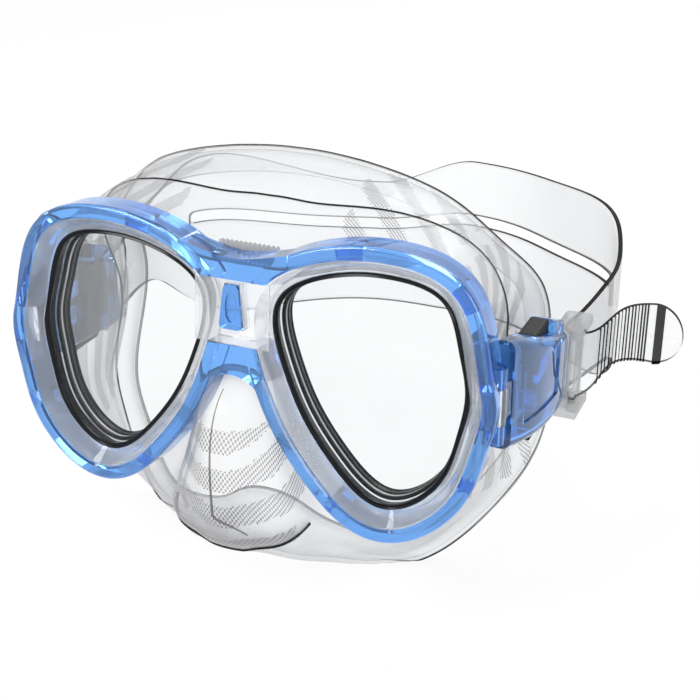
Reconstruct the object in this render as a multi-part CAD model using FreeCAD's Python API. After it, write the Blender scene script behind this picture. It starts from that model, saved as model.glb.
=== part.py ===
import FreeCAD, Part
import math
import os

# Twin-lens diving mask: a blue frame clipped over a clear chassis, two lenses in black seals,
# a clear silicone skirt with a nose pocket, and a buckle on each side that holds the head strap.
# X runs to the wearer's left, Y from the front to the back of the head, Z up.  Millimetres.
# Everything is built for the wearer's left and mirrored, then moved so that the origin is the
# middle of the bottom of the whole mask's box.

# Lens rings
EYE_SPACING = 98.6            # between the middles of the two lens rings
YAW = 3.3                     # each ring turns back this much at its outer side, degrees
TILT = 5.1                    # both rings lean back at the top, degrees
LENS_OUTLINE = [              # the lens edge about its ring's middle: outer side, top, nose, bottom
    (20.9, 2.4), (18.4, 14.6), (12.6, 28.9), (-2.7, 33.7), (-19.8, 32.1), (-36.6, 22.0),
    (-34.7, 2.4), (-28.3, -12.4), (-18.9, -25.7), (-2.7, -37.2), (13.9, -26.3), (19.3, -10.3)]
OUTLINE_SAMPLES = 40          # points on the lens edge when it is grown or shrunk

LENS_THICKNESS = 3.5
LENS_FRONT = -2.0             # depth of the lens's front face from the ring plane
SEAL_WALL = 0.7               # black seal round the lens edge
SEAL_LIP = 2.6                # how far its front lip covers the lens
SEAL_LIP_THICKNESS = 1.3
CHASSIS_BAND = 4.1            # width of the clear chassis round each seal
CHASSIS_FRONT = 3.5
CONE_FOOT = 0.5               # where the chassis's slanted face meets the seal, past the lens edge
FRAME_BAND = 4.3              # width of the blue frame's band
FRAME_FRONT = 4.5
FRAME_BACK = -6.5
FRAME_ROUND = 1.3             # rounding of the frame's front edges
FIT = 0.05                    # clearance between clipped or bonded pieces

# Clips of the chassis in the frame
CLIP_ANGLES = [58, 113, 250, 305]
CLIP_WIDTH = 8.0
CLIP_REACH = 2.4
CLIP_HEIGHT = 2.5
CLIP_DEPTH = -3.4             # middle of a clip, from the ring plane

# Bridge
BRIDGE_TOP = 28.0             # underside of the frame's top block
BRIDGE_BOTTOM = 8.0           # top of the nose arch
BLOCK_TOP = 34.4              # top of the top block at the middle
BLOCK_SHOULDER = (17.5, 37.6) # where the block's top edge meets each ring
BRIDGE_HALF = 12.0
BRIDGE_FRONT = 3.2
ARCH_CROWN = -1.2             # underside of the nose arch at the middle
ARCH_FOOT = (9.8, -6.8)
PLUG_TOP = 26.5
PLUG_BOTTOM = 13.0
PLUG_TOP_WIDTH = 4.6
PLUG_BOTTOM_WIDTH = 7.6
PLUG_DEPTH = 4.5
PLUG_PROUD = 1.0
PLUG_RECESS = 0.8

# Skirt
SKIRT_WALL = 2.0
SKIRT_LIP_WALL = 1.2
SKIRT_PLATE = 2.0             # front plate between the chassis and the face side
SKIRT_PLATE_REACH = 4.8       # past the lens edge
SKIRT_OPENING = -2.0          # lens opening, inside the lens edge
SKIRT_LIP = 7.0               # inward turned edge of the face seal
SKIRT_ROLL = 2.2              # size of the turn between the wall and that edge
SKIRT_CLEAR = 0.15            # between the skirt and the frame's band
REST_LEVEL = -73.8            # the two lower lobes are flat here
# From the forehead round to the cheek: where the wall leaves the plate (x, z), the face seal's
# rim (x, y, z), the way the wall faces in degrees, and how far it bulges out (or in, if negative).
SKIRT_SIDE = [
    ((0.0, 30.0), (0.0, 43.0, 52.8), 90, 4.5),
    ((3.0, 30.0), (3.5, 43.0, 52.8), 90, 4.5),
    ((12.0, 30.0), (14.0, 42.8, 52.2), 90, 4.0),
    ((30.0, 34.5), (34.0, 42.0, 49.0), 84, 3.0),
    ((47.0, 35.6), (50.0, 42.5, 43.0), 74, 2.0),
    ((62.8, 30.8), (64.0, 47.0, 30.5), 48, 0.5),
    ((68.9, 16.0), (73.5, 54.0, 18.5), 22, -4.0),
    ((71.4, 0.0), (76.5, 61.0, 0.0), 0, -8.0),
    ((69.8, -11.0), (78.3, 56.5, -27.0), -8, -7.5),
    ((64.2, -28.0), (74.5, 48.0, -43.0), -30, -1.5),
    ((56.0, -34.5), (62.0, 39.0, -60.5), -55, 1.0),
    ((46.5, -39.0), (43.0, 28.0, -74.0), -82, 1.5)]
# From the cheek to the ridge of the nose: points down the wall, from the plate to the rim.
SKIRT_NOSE = [
    ((30.0, -27.0), [(27.0, 8.5, -38.0), (23.5, 3.0, -50.0), (22.0, 5.0, -62.0)], (23.0, 22.0, -71.5)),
    ((18.0, -13.5), [(15.0, 1.5, -19.0), (15.2, -10.0, -38.0), (15.5, -6.0, -58.0)], (15.0, 18.0, -66.0)),
    ((8.5, -5.5), [(8.0, -7.0, -11.0), (8.8, -14.5, -36.0), (8.8, -8.0, -57.5)], (8.0, 16.0, -61.0)),
    ((3.0, -2.8), [(3.0, -10.5, -8.2), (3.2, -17.4, -34.2), (3.2, -9.4, -57.5)], (3.0, 15.0, -59.2)),
    ((0.0, -2.5), [(0.0, -10.8, -8.0), (0.0, -17.8, -34.0), (0.0, -9.6, -57.5)], (0.0, 14.9, -59.0))]
SIDE_STEPS = [0.3, 0.6, 0.88]  # places along a side wall between the plate and the rim

# Hinge between the frame and each buckle
HINGE_X = 77.2
HINGE_Y = 6.0
PIN_RADIUS = 1.1
PIN_GRIP = 0.02               # clearance of the pin in the frame's lugs
PIN_RUNNING = 0.08            # clearance of the pin in the buckle's knuckle
LUG_RADIUS = 2.9
LUG_TOP = 11.0
LUG_BOTTOM = -13.0
KNUCKLE_RADIUS = 3.0
KNUCKLE_TOP = 4.7
KNUCKLE_BOTTOM = -6.7
KNUCKLE_GAP = 0.25            # above and below the knuckle
SWING_GAP = 0.7               # round the knuckle and its neck

# Buckle housing: sections along Y, each (y, outer x, low z, high z)
HOUSING_INNER_X = 74.2
HOUSING_SECTIONS = [(10.0, 80.9, -17.0, 17.3), (22.0, 84.4, -18.6, 14.0),
                    (36.0, 86.3, -19.6, 9.4), (50.0, 86.0, -20.0, 5.0)]
HOUSING_CORNER = 3.0
HOUSING_WALL = 1.8
PANEL_DEPTH = 0.6             # recessed panel on the outer face
PANEL_Y = (16.0, 40.0)
PANEL_Z = (-11.0, 6.0)
GUARD_X = (76.2, 84.4)        # raised guard behind the upper button
GUARD_TOP = (12.6, 8.6)       # its height at its front and back ends
GUARD_ROOT = (7.2, 4.0)       # its foot inside the housing's wall
GUARD_ROUND = 1.2
BACK_PLATE = 1.6
BACK_PLATE_GAP = 0.15

# Release buttons, one above and one below
BUTTON_Y = (25.5, 39.5)
BUTTON_X = (76.6, 82.4)
BUTTON_PROUD = 2.3
BUTTON_GAP = 0.3
BUTTON_FLANGE = 0.8
BUTTON_FLANGE_THICKNESS = 1.2
BUTTON_TOP = 10.5             # housing surface at the middle of the upper button
BUTTON_LOW = -19.4            # and at the lower button
BUTTON_DEPTHS = (6.4, 4.6)    # from the housing's surface down to each button's inner end
LEG_Y = (34.0, 37.5)
LEG_X = (77.4, 80.6)
LEG_GAP = 2.3                 # between a button's leg and the pawl's level, at rest

# Pawl, its spring and its stop
PAWL_X = (81.2, 83.2)
PAWL_Z = (-12.0, -6.0)
PAWL_FRONT = 30.5
PAWL_EAR_X = 77.6
PAWL_EAR_BACK = 33.5
PAWL_GAP = 0.3
SPRING_STRIP = 0.5
SPRING_SPAN = (77.2, 82.8)
STOP_Y = 27.8
STOP_THICKNESS = 1.2

# Strap loop and roller
ROLLER_X = 86.0
ROLLER_Y = 61.0
ROLLER_RADIUS = 2.2
ROLLER_PIN_RADIUS = 1.0
ROLLER_PIN_GAP = 0.06
ROLLER_END_GAP = 0.3
LOOP_THICKNESS = 2.4
LOOP_OUT = 90.0
LOOP_IN = 81.4
LOOP_BACK = 66.5
LOOP_BAR = 1.8
LOOP_WEB = 1.8
TONGUE_LENGTH = 2.0
TONGUE_X = (80.6, 83.8)
TONGUE_HEIGHT = 3.6

# Strap
STRAP_THICKNESS = 2.0
STRAP_TOP = 1.5               # edges of the strap's end at the roller
STRAP_BOTTOM = -21.5
STRAP_SIDE_GAP = 0.8          # between the strap's edges and the loop
STRAP_ROLLER_GAP = 0.3
STRAP_PLAN = [(0.0, 172.0), (26.0, 170.0), (42.0, 162.5), (57.0, 150.0), (74.0, 132.5),
              (85.0, 117.0), (89.0, 102.0), (87.5, 84.0), (84.2, 70.0)]
WRAP_END = -60.0              # the strap leaves the roller at this angle from +X, degrees
TAIL_PLAN = [(95.0, 61.6), (104.0, 64.6), (118.0, 65.2)]
# Side outline of the arm and back band, (y, z), along its top and then its bottom
BAND_TOP = [(69.0, 1.9), (90.0, 6.5), (106.0, 10.0), (116.0, 16.0), (128.0, 19.5), (140.0, 19.0),
            (156.0, 16.5), (176.0, 14.5)]
BAND_BOTTOM = [(176.0, -50.0), (150.0, -49.0), (128.0, -46.0), (114.0, -36.0), (100.0, -25.0),
               (85.0, -22.0), (70.0, -21.5)]
SLIT_TOP = -7.0
SLIT_BOTTOM = -11.6
SLIT_START = 121.0
# Outline of the tail (x, z), along its top and then its bottom; its tip is an arc through TAIL_TIP
TAIL_TOP = [(91.0, 1.6), (99.0, 8.2), (109.0, 11.2)]
TAIL_TIP = (118.0, 0.6)
TAIL_BOTTOM = [(109.0, -10.8), (99.0, -14.2), (92.0, -19.4)]
GRIP_X = (109.5, 112.0)
GRIP_Z = (-8.0, 8.4)
GRIP_PROUD = 1.2

BIG = 400.0                   # reach of cutting tools past the model


def vector(x, y, z):
    return FreeCAD.Vector(x, y, z)


def box(x, y, z):
    """A block between the two values given for each axis."""
    corner = vector(min(x), min(y), min(z))
    return Part.makeBox(abs(x[1] - x[0]), abs(y[1] - y[0]), abs(z[1] - z[0]), corner)


def upright_cylinder(x, y, radius, z):
    return Part.makeCylinder(radius, max(z) - min(z), vector(x, y, min(z)))


def fused(shapes):
    first, rest = shapes[0], shapes[1:]
    return first.fuse(rest).removeSplitter() if rest else first


def mirrored(shape):
    return shape.mirror(vector(0, 0, 0), vector(1, 0, 0))


def both(shape):
    return shape.fuse(mirrored(shape)).removeSplitter()


# Ring plane: local x along the ring, y up it, z out of its front

def ring_matrix():
    yaw, tilt = math.radians(YAW), math.radians(TILT)
    along = vector(math.cos(yaw), math.sin(yaw), 0)
    out = vector(math.sin(yaw) * math.cos(tilt), -math.cos(yaw) * math.cos(tilt), math.sin(tilt))
    up = out.cross(along)
    return FreeCAD.Matrix(along.x, up.x, out.x, EYE_SPACING / 2, along.y, up.y, out.y, 0,
                          along.z, up.z, out.z, 0, 0, 0, 0, 1)


def middle_matrix():
    """The plane at the bridge: it leans as the rings do, without their yaw."""
    tilt = math.radians(TILT)
    set_back = -EYE_SPACING / 2 * math.tan(math.radians(YAW))
    return FreeCAD.Matrix(1, 0, 0, 0, 0, math.sin(tilt), -math.cos(tilt), set_back,
                          0, math.cos(tilt), math.sin(tilt), 0, 0, 0, 0, 1)


RING = ring_matrix()
MIDDLE = middle_matrix()


def on_ring(shape):
    return shape.transformed(RING)


def on_middle(shape):
    return shape.transformed(MIDDLE)


def closed_curve(points):
    curve = Part.BSplineCurve()
    curve.interpolate(Points=points, PeriodicFlag=True)
    return curve


LENS_EDGE = closed_curve([vector(u, v, 0) for u, v in LENS_OUTLINE])


def grown_points(gap):
    """Points on the lens edge moved out square to it."""
    first, last = LENS_EDGE.FirstParameter, LENS_EDGE.LastParameter
    points = []
    for step in range(OUTLINE_SAMPLES):
        place, along = LENS_EDGE.getD1(first + (last - first) * step / OUTLINE_SAMPLES)
        outward = vector(along.y, -along.x, 0).normalize()
        points.append(place + outward * gap)
    return points


def outline(gap, depth):
    edge = closed_curve(grown_points(gap)).toShape()
    edge.translate(vector(0, 0, depth))
    return Part.Wire([edge])


def slab(gap, back, front):
    """The lens outline grown by a gap, between two depths, in the ring's own axes."""
    return Part.Face(outline(gap, back)).extrude(vector(0, 0, front - back))


def edge_near(angle, gap):
    """The point of the grown outline in a direction from the ring's middle."""
    def off(point):
        turn = math.degrees(math.atan2(point.y, point.x)) - angle
        return abs((turn + 180) % 360 - 180)
    return min(grown_points(gap), key=off)


LENS_BACK = LENS_FRONT - LENS_THICKNESS
SEAL_OUT = FIT + SEAL_WALL
SEAL_FRONT = LENS_FRONT + SEAL_LIP_THICKNESS
POCKET = SEAL_OUT + FIT
CHASSIS_OUT = POCKET + CHASSIS_BAND
FRAME_IN = CHASSIS_OUT + FIT
FRAME_OUT = FRAME_IN + FRAME_BAND


def lens():
    return on_ring(slab(0, LENS_BACK, LENS_FRONT))


def lens_seal():
    body = slab(SEAL_OUT, LENS_BACK, SEAL_FRONT)
    body = body.cut(slab(FIT, LENS_BACK - 1, LENS_FRONT))
    return on_ring(body.cut(slab(-SEAL_LIP, LENS_BACK, SEAL_FRONT + 1)))


def clip(width, reach, height):
    """Rectangular clips that stand out of the chassis into the frame."""
    clips = []
    for angle in CLIP_ANGLES:
        root = edge_near(angle, CHASSIS_OUT - 1)
        outward = edge_near(angle, CHASSIS_OUT + 5) - root
        lug = Part.makeBox(reach + 1, width, height, vector(0, -width / 2, CLIP_DEPTH - height / 2))
        lug.rotate(vector(0, 0, 0), vector(0, 0, 1), math.degrees(math.atan2(outward.y, outward.x)))
        lug.translate(root)
        clips.append(lug)
    return clips


def lens_space():
    """What stays free in front of and around each lens: the seal's pocket and the slanted face."""
    cone = Part.makeLoft([outline(CONE_FOOT, SEAL_FRONT), outline(CHASSIS_OUT - 0.4, CHASSIS_FRONT + 0.02)],
                         True)
    pocket = slab(POCKET, LENS_BACK - 1, SEAL_FRONT)
    return on_ring(fused([pocket, cone, slab(CONE_FOOT, SEAL_FRONT - 0.1, SEAL_FRONT + 0.1)]))


def middle_block(points, back, front):
    wire = Part.makePolygon([vector(x, v, back) for x, v in points + points[:1]])
    return on_middle(Part.Face(wire).extrude(vector(0, 0, front - back)))


def plug_outline(gap):
    top, bottom = PLUG_TOP_WIDTH / 2 + gap, PLUG_BOTTOM_WIDTH / 2 + gap
    return [(-bottom, PLUG_BOTTOM - gap), (bottom, PLUG_BOTTOM - gap), (top, PLUG_TOP + gap),
            (-top, PLUG_TOP + gap)]


def bridge_plug():
    front = BRIDGE_FRONT + PLUG_PROUD
    body = middle_block(plug_outline(0), front - PLUG_DEPTH - PLUG_PROUD, front)
    upright = [edge for edge in body.Edges if edge.Length < PLUG_DEPTH + PLUG_PROUD + 0.1
               and edge.Length > PLUG_DEPTH + PLUG_PROUD - 0.1]
    body = body.makeFillet(1.4, upright)
    recess = Part.Ellipse(vector(0, (PLUG_TOP + PLUG_BOTTOM) / 2, front - PLUG_RECESS), 4.6, 1.7)
    ring = Part.Wire([recess.toShape()])
    ring.rotate(vector(0, (PLUG_TOP + PLUG_BOTTOM) / 2, 0), vector(0, 0, 1), 90)
    return body.cut(on_middle(Part.Face(ring).extrude(vector(0, 0, PLUG_RECESS + 1))))


def hinge_room(gap):
    """The window in the frame's side for the buckle's knuckle and its neck."""
    inner = HINGE_X - KNUCKLE_RADIUS - gap
    front = HINGE_Y - KNUCKLE_RADIUS - gap
    return box((inner, HINGE_X + 20), (front, HINGE_Y + 20),
               (KNUCKLE_BOTTOM - KNUCKLE_GAP, KNUCKLE_TOP + KNUCKLE_GAP))


def lug_column(gap):
    return upright_cylinder(HINGE_X, HINGE_Y, LUG_RADIUS + gap, (LUG_BOTTOM - gap, LUG_TOP + gap))


def inner_bezel():
    ring = fused([slab(CHASSIS_OUT, LENS_BACK, CHASSIS_FRONT)] + clip(CLIP_WIDTH, CLIP_REACH, CLIP_HEIGHT))
    low, high = BRIDGE_BOTTOM + FIT, BRIDGE_TOP - FIT
    span = [(-BRIDGE_HALF, low), (BRIDGE_HALF, low), (BRIDGE_HALF, high), (-BRIDGE_HALF, high)]
    bridge = middle_block(span, LENS_BACK, BRIDGE_FRONT)
    ring = on_ring(ring)
    body = fused([ring, mirrored(ring), bridge])
    room = lens_space()
    hole = middle_block(plug_outline(FIT * 2), BRIDGE_FRONT - PLUG_DEPTH - FIT, BRIDGE_FRONT + 2)
    body = body.cut([room, mirrored(room), hole])
    hinge = [lug_column(FIT * 3), hinge_room(SWING_GAP)]
    return body.cut(hinge + [mirrored(tool) for tool in hinge])


def front_edges(shape, depth):
    return [edge for edge in shape.Edges
            if abs(edge.BoundBox.ZMin - depth) < 0.01 and abs(edge.BoundBox.ZMax - depth) < 0.01]


def top_block():
    x, top = BLOCK_SHOULDER
    half = [vector(0, BLOCK_TOP, 0), vector(x * 0.3, BLOCK_TOP + 0.5, 0), vector(x, top, 0)]
    points = [vector(-p.x, p.y, 0) for p in reversed(half[1:])] + half
    curve = Part.BSplineCurve()
    curve.interpolate(points)
    corners = [points[-1], vector(x, top - 7, 0), vector(BRIDGE_HALF + 2, BRIDGE_TOP, 0),
               vector(-BRIDGE_HALF - 2, BRIDGE_TOP, 0), vector(-x, top - 7, 0), points[0]]
    face = Part.Face(Part.Wire([curve.toShape()] + Part.makePolygon(corners).Edges))
    face.translate(vector(0, 0, LENS_BACK))
    return on_middle(face.extrude(vector(0, 0, FRAME_FRONT - LENS_BACK - 0.6)))


def nose_arch():
    x, low = ARCH_FOOT
    under = Part.Arc(vector(x, low, 0), vector(0, ARCH_CROWN, 0), vector(-x, low, 0)).toShape()
    corners = [vector(-x, low, 0), vector(-x, BRIDGE_BOTTOM, 0), vector(x, BRIDGE_BOTTOM, 0),
               vector(x, low, 0)]
    face = Part.Face(Part.Wire([under] + Part.makePolygon(corners).Edges))
    face.translate(vector(0, 0, LENS_BACK))
    return on_middle(face.extrude(vector(0, 0, FRAME_FRONT - LENS_BACK - 0.8)))


def frame_opening():
    """The room for the chassis, a little wider at the front edge."""
    edge = FRAME_FRONT - FRAME_ROUND / 2
    flare = Part.makeLoft([outline(FRAME_IN - 0.02, edge), outline(FRAME_IN + FRAME_ROUND / 2, FRAME_FRONT + 0.1)],
                          True)
    return on_ring(slab(FRAME_IN, FRAME_BACK - 1, FRAME_FRONT + 6).fuse(flare))


def front_frame():
    ring = slab(FRAME_OUT, FRAME_BACK, FRAME_FRONT)
    ring = on_ring(ring.makeFillet(FRAME_ROUND, front_edges(ring, FRAME_FRONT)))
    span = BRIDGE_HALF + 3
    window = middle_block([(-span, BRIDGE_BOTTOM), (span, BRIDGE_BOTTOM), (span, BRIDGE_TOP),
                           (-span, BRIDGE_TOP)], FRAME_BACK - 1, FRAME_FRONT + 1)
    body = ring.cut(window).fuse([mirrored(ring).cut(window), top_block(), nose_arch()])
    body = body.fuse([lug_column(0), mirrored(lug_column(0))])
    clips = clip(CLIP_WIDTH + 2 * FIT, CLIP_REACH + 2 * FIT, CLIP_HEIGHT + 2 * FIT)
    tools = [frame_opening(), hinge_room(SWING_GAP),
             upright_cylinder(HINGE_X, HINGE_Y, PIN_RADIUS + PIN_GRIP, (LUG_BOTTOM - 1, LUG_TOP + 1))]
    tools += [on_ring(lug) for lug in clips]
    for tool in tools:
        body = body.cut(tool).cut(mirrored(tool))
    return body


def hinge_pin():
    pin = upright_cylinder(HINGE_X, HINGE_Y, PIN_RADIUS, (LUG_BOTTOM, LUG_TOP))
    return pin.makeChamfer(0.25, [edge for edge in pin.Edges if edge.Curve.TypeId == "Part::GeomCircle"])


# Skirt

def plate_point(x, z, depth):
    """The point of the left ring's plane, at a depth, that lies at x and z."""
    inverse = RING.inverse()
    start = inverse.multVec(vector(x, 0, z))
    along = inverse.multVec(vector(x, 1, z)) - start
    return vector(x, (depth - start.z) / along.z, z)


def rolled(end, before, out):
    """The rim, the turn inward and the lip's edge."""
    along = (end - before).normalize()
    turn = end + along * (SKIRT_ROLL * 0.6) - out * SKIRT_ROLL
    return [end, turn, end - out * SKIRT_LIP]


def skirt_rows():
    """Points down the wall at each place round the whole skirt, from the forehead's middle."""
    depth = LENS_BACK - SKIRT_PLATE / 2
    rows = []
    for (x, z), rim, facing, bulge in SKIRT_SIDE:
        start, end = plate_point(x, z, depth), vector(*rim)
        out = vector(math.cos(math.radians(facing)), 0, math.sin(math.radians(facing)))
        middle = [start + (end - start) * t + out * (bulge * math.sin(math.pi * t)) for t in SIDE_STEPS]
        rows.append([start] + middle + rolled(end, middle[-1], out))
    for (x, z), middle, rim in SKIRT_NOSE:
        start = plate_point(x, z, depth)
        middle = [vector(*point) for point in middle]
        rows.append([start] + middle + rolled(vector(*rim), middle[-1], vector(0, 0, -1)))
    return rows


def skirt_outer(rows):
    """The same points moved out by the wall's thickness, square to the wall."""
    outer = []
    last = len(rows) - 1
    for place, row in enumerate(rows):
        points = []
        for step, point in enumerate(row):
            down = row[min(step + 1, len(row) - 1)] - row[max(step - 1, 0)]
            if place in (0, last):
                round_way = vector(1 if place == 0 else -1, 0, 0)
            else:
                round_way = rows[place + 1][step] - rows[place - 1][step]
            share = step / (len(row) - 1)
            wall = SKIRT_WALL + (SKIRT_LIP_WALL - SKIRT_WALL) * share
            points.append(point + round_way.cross(down).normalize() * wall)
        outer.append(points)
    return outer


def spline_edge(points):
    curve = Part.BSplineCurve()
    curve.interpolate(points)
    return curve.toShape()


def skirt_wall():
    """The left half of the wall, lofted from the forehead's middle to the nose's ridge."""
    rows = skirt_rows()
    wires = []
    for inner, outer in zip(rows, skirt_outer(rows)):
        wires.append(Part.Wire([spline_edge(outer), Part.makeLine(outer[-1], inner[-1]),
                                spline_edge(inner[::-1]), Part.makeLine(inner[0], outer[0])]))
    wall = Part.makeLoft(wires, True)
    if wall.Volume < 0:
        wall.reverse()
    return wall


def skirt():
    back = LENS_BACK - SKIRT_PLATE
    plate = on_ring(slab(SKIRT_PLATE_REACH, back, LENS_BACK))
    web = middle_block([(-17, -12), (-8.5, -4.5), (0, -2), (8.5, -4.5), (17, -12), (14, 31), (-14, 31)],
                       back, LENS_BACK)
    wall = skirt_wall()
    body = wall.fuse([mirrored(wall), plate, mirrored(plate), web])
    opening = on_ring(slab(SKIRT_OPENING, back - 2, LENS_BACK + 1))
    hinge = [lug_column(PAWL_GAP), hinge_room(SWING_GAP + PAWL_GAP)]
    chassis = on_ring(slab(CHASSIS_OUT + 1, LENS_BACK, FRAME_FRONT + 1))
    band = slab(FRAME_OUT + SKIRT_CLEAR, FRAME_BACK - SKIRT_CLEAR, FRAME_FRONT + 1)
    band = on_ring(band.cut(slab(SKIRT_PLATE_REACH + SKIRT_CLEAR, FRAME_BACK - 1, FRAME_FRONT + 2)))
    x, top = BLOCK_SHOULDER[0] + 2, BLOCK_SHOULDER[1] + 3
    bridge = middle_block([(-x, ARCH_CROWN - 1.5), (x, ARCH_CROWN - 1.5), (x, top), (-x, top)],
                          LENS_BACK, FRAME_FRONT + 4)
    tools = [opening, chassis, band] + hinge
    body = body.cut(tools + [mirrored(tool) for tool in tools] + [bridge])
    return body.cut(box((-BIG, BIG), (-BIG, BIG), (REST_LEVEL - BIG, REST_LEVEL)))


# Buckle

def rounded_section(y, x, z, corner):
    """A rounded rectangle across Y."""
    (x0, x1), (z0, z1) = x, z
    diagonal = corner * (1 - math.sqrt(0.5))
    edges = []
    arcs = [((x1, z1), (1, 1)), ((x0, z1), (-1, 1)), ((x0, z0), (-1, -1)), ((x1, z0), (1, -1))]
    ends = []
    for (cx, cz), (sx, sz) in arcs:
        a, b = vector(cx, y, cz - sz * corner), vector(cx - sx * corner, y, cz)
        if sx * sz < 0:
            a, b = b, a
        ends.append((a, vector(cx - sx * diagonal, y, cz - sz * diagonal), b))
    for place, (a, half, b) in enumerate(ends):
        edges.append(Part.Arc(a, half, b).toShape())
        edges.append(Part.makeLine(b, ends[(place + 1) % 4][0]))
    return Part.Wire(edges)


def housing_loft(inset, inner_x):
    wires = []
    last = len(HOUSING_SECTIONS) - 1
    for place, (y, x, low, high) in enumerate(HOUSING_SECTIONS):
        y = y + inset if place == 0 else y - inset if place == last else y
        wires.append(rounded_section(y, (inner_x, x - inset), (low + inset, high - inset),
                                     HOUSING_CORNER - inset * 0.6))
    return Part.makeLoft(wires, True)


def neck_block(gap):
    return box((HOUSING_INNER_X, HINGE_X + 2.2 + gap), (HINGE_Y, HOUSING_SECTIONS[0][0] + 4),
               (KNUCKLE_BOTTOM - gap, KNUCKLE_TOP + gap))


def button_hole(z):
    gap = BUTTON_GAP
    return box((BUTTON_X[0] - gap, BUTTON_X[1] + gap), (BUTTON_Y[0] - gap, BUTTON_Y[1] + gap), z)


def tongues(gap):
    low = STRAP_BOTTOM + 3.0
    high = STRAP_TOP - 2.0
    back = HOUSING_SECTIONS[-1][0]
    blocks = []
    for z in ((low, low + TONGUE_HEIGHT), (high - TONGUE_HEIGHT, high)):
        blocks.append(box((TONGUE_X[0] - gap, TONGUE_X[1] + gap), (back - TONGUE_LENGTH - gap, back + 0.5),
                          (z[0] - gap, z[1] + gap)))
    return blocks


def button_guard():
    front, back = BUTTON_Y[1] + BUTTON_GAP, HOUSING_SECTIONS[-1][0] - 0.1
    corners = [(front, GUARD_ROOT[0]), (front, GUARD_TOP[0]), (back, GUARD_TOP[1]), (back, GUARD_ROOT[1])]
    points = [vector(GUARD_X[0], y, z) for y, z in corners]
    block = Part.Face(Part.makePolygon(points + points[:1])).extrude(vector(GUARD_X[1] - GUARD_X[0], 0, 0))
    top = [edge for edge in block.Edges if edge.CenterOfMass.z > GUARD_TOP[1] - 0.1]
    return block.makeFillet(GUARD_ROUND, top)


def buckle_housing():
    body = housing_loft(0, HOUSING_INNER_X)
    body = body.cut(housing_loft(HOUSING_WALL, HOUSING_INNER_X - 20)).fuse(button_guard())
    body = body.cut(box((HOUSING_INNER_X - 1, HINGE_X + 3.2), (0, HOUSING_SECTIONS[0][0] + HOUSING_WALL + 1),
                        (KNUCKLE_BOTTOM - KNUCKLE_GAP, KNUCKLE_TOP + KNUCKLE_GAP)))
    middle = (HOUSING_SECTIONS[-1][2] + HOUSING_SECTIONS[-1][3]) / 2
    body = body.cut([button_hole((middle, BIG)), button_hole((-BIG, middle))])
    slot = box((PAWL_X[0] - PAWL_GAP, PAWL_X[1] + PAWL_GAP), (HOUSING_SECTIONS[-1][0] - 5, BIG),
               (PAWL_Z[0] - PAWL_GAP, PAWL_Z[1] + PAWL_GAP))
    panel = box((HOUSING_INNER_X + 4, BIG), PANEL_Y, PANEL_Z)
    panel = panel.cut(housing_loft(PANEL_DEPTH, HOUSING_INNER_X - 20))
    return body.cut([slot, panel] + tongues(FIT))


def buckle_back_plate():
    """Clear plate on the head side, with the knuckle and the stop of the pawl's spring."""
    inner = housing_loft(HOUSING_WALL + BACK_PLATE_GAP, HOUSING_INNER_X - 20)
    plate = inner.common(box((HOUSING_INNER_X, HOUSING_INNER_X + BACK_PLATE), (-BIG, BIG), (-BIG, BIG)))
    knuckle = upright_cylinder(HINGE_X, HINGE_Y, KNUCKLE_RADIUS, (KNUCKLE_BOTTOM, KNUCKLE_TOP))
    stop = box((HOUSING_INNER_X, SPRING_SPAN[1]), (STOP_Y - STOP_THICKNESS, STOP_Y), PAWL_Z)
    body = fused([plate, knuckle, neck_block(0), stop])
    for low, high in ((PAWL_Z[1] + 5, BIG), (-BIG, PAWL_Z[0] - 5)):
        body = body.cut(button_hole((low, high)).common(box((0, HOUSING_INNER_X + 1), (0, BIG), (-BIG, BIG))))
    bore = upright_cylinder(HINGE_X, HINGE_Y, PIN_RADIUS + PIN_RUNNING, (-BIG, BIG))
    return body.cut(bore)


def button(surface, way, depth):
    """A push button with its retaining flange and the leg that works the pawl."""
    top = surface + way * BUTTON_PROUD
    under = surface - way * depth
    cap = box(BUTTON_X, BUTTON_Y, (under, top))
    cap = cap.makeFillet(1.0, [edge for edge in cap.Edges if abs(edge.CenterOfMass.z - top) < 0.01])
    wide = [BUTTON_X[0], BUTTON_X[1]], [BUTTON_Y[0] - BUTTON_FLANGE, BUTTON_Y[1] + BUTTON_FLANGE]
    flange = box(wide[0], wide[1], (under, under + way * BUTTON_FLANGE_THICKNESS))
    level = PAWL_Z[1] if way > 0 else PAWL_Z[0]
    leg = box(LEG_X, LEG_Y, (level + way * LEG_GAP, under + way * 0.5))
    return fused([cap, flange, leg])


def pawl():
    tip = ROLLER_Y - ROLLER_RADIUS - STRAP_ROLLER_GAP - STRAP_THICKNESS - PAWL_GAP + 0.3
    bar = box(PAWL_X, (PAWL_FRONT, tip), PAWL_Z)
    ear = box((PAWL_EAR_X, PAWL_X[1]), (PAWL_FRONT, PAWL_EAR_BACK), PAWL_Z)
    return fused([bar, ear])


def pawl_spring():
    """A bowed leaf between the stop and the front of the pawl."""
    x0, x1 = SPRING_SPAN
    foot, crown = STOP_Y + 0.1, PAWL_FRONT - 0.1
    middle = (x0 + x1) / 2
    outer = Part.Arc(vector(x0, foot, 0), vector(middle, crown, 0), vector(x1, foot, 0)).toShape()
    inner = Part.Arc(vector(x1 - SPRING_STRIP, foot, 0), vector(middle, crown - SPRING_STRIP, 0),
                     vector(x0 + SPRING_STRIP, foot, 0)).toShape()
    ends = [Part.makeLine(vector(x1, foot, 0), vector(x1 - SPRING_STRIP, foot, 0)),
            Part.makeLine(vector(x0 + SPRING_STRIP, foot, 0), vector(x0, foot, 0))]
    face = Part.Face(Part.Wire([outer, ends[0], inner, ends[1]]))
    face.translate(vector(0, 0, PAWL_Z[0] + 0.5))
    return face.extrude(vector(0, 0, PAWL_Z[1] - PAWL_Z[0] - 1))


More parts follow.
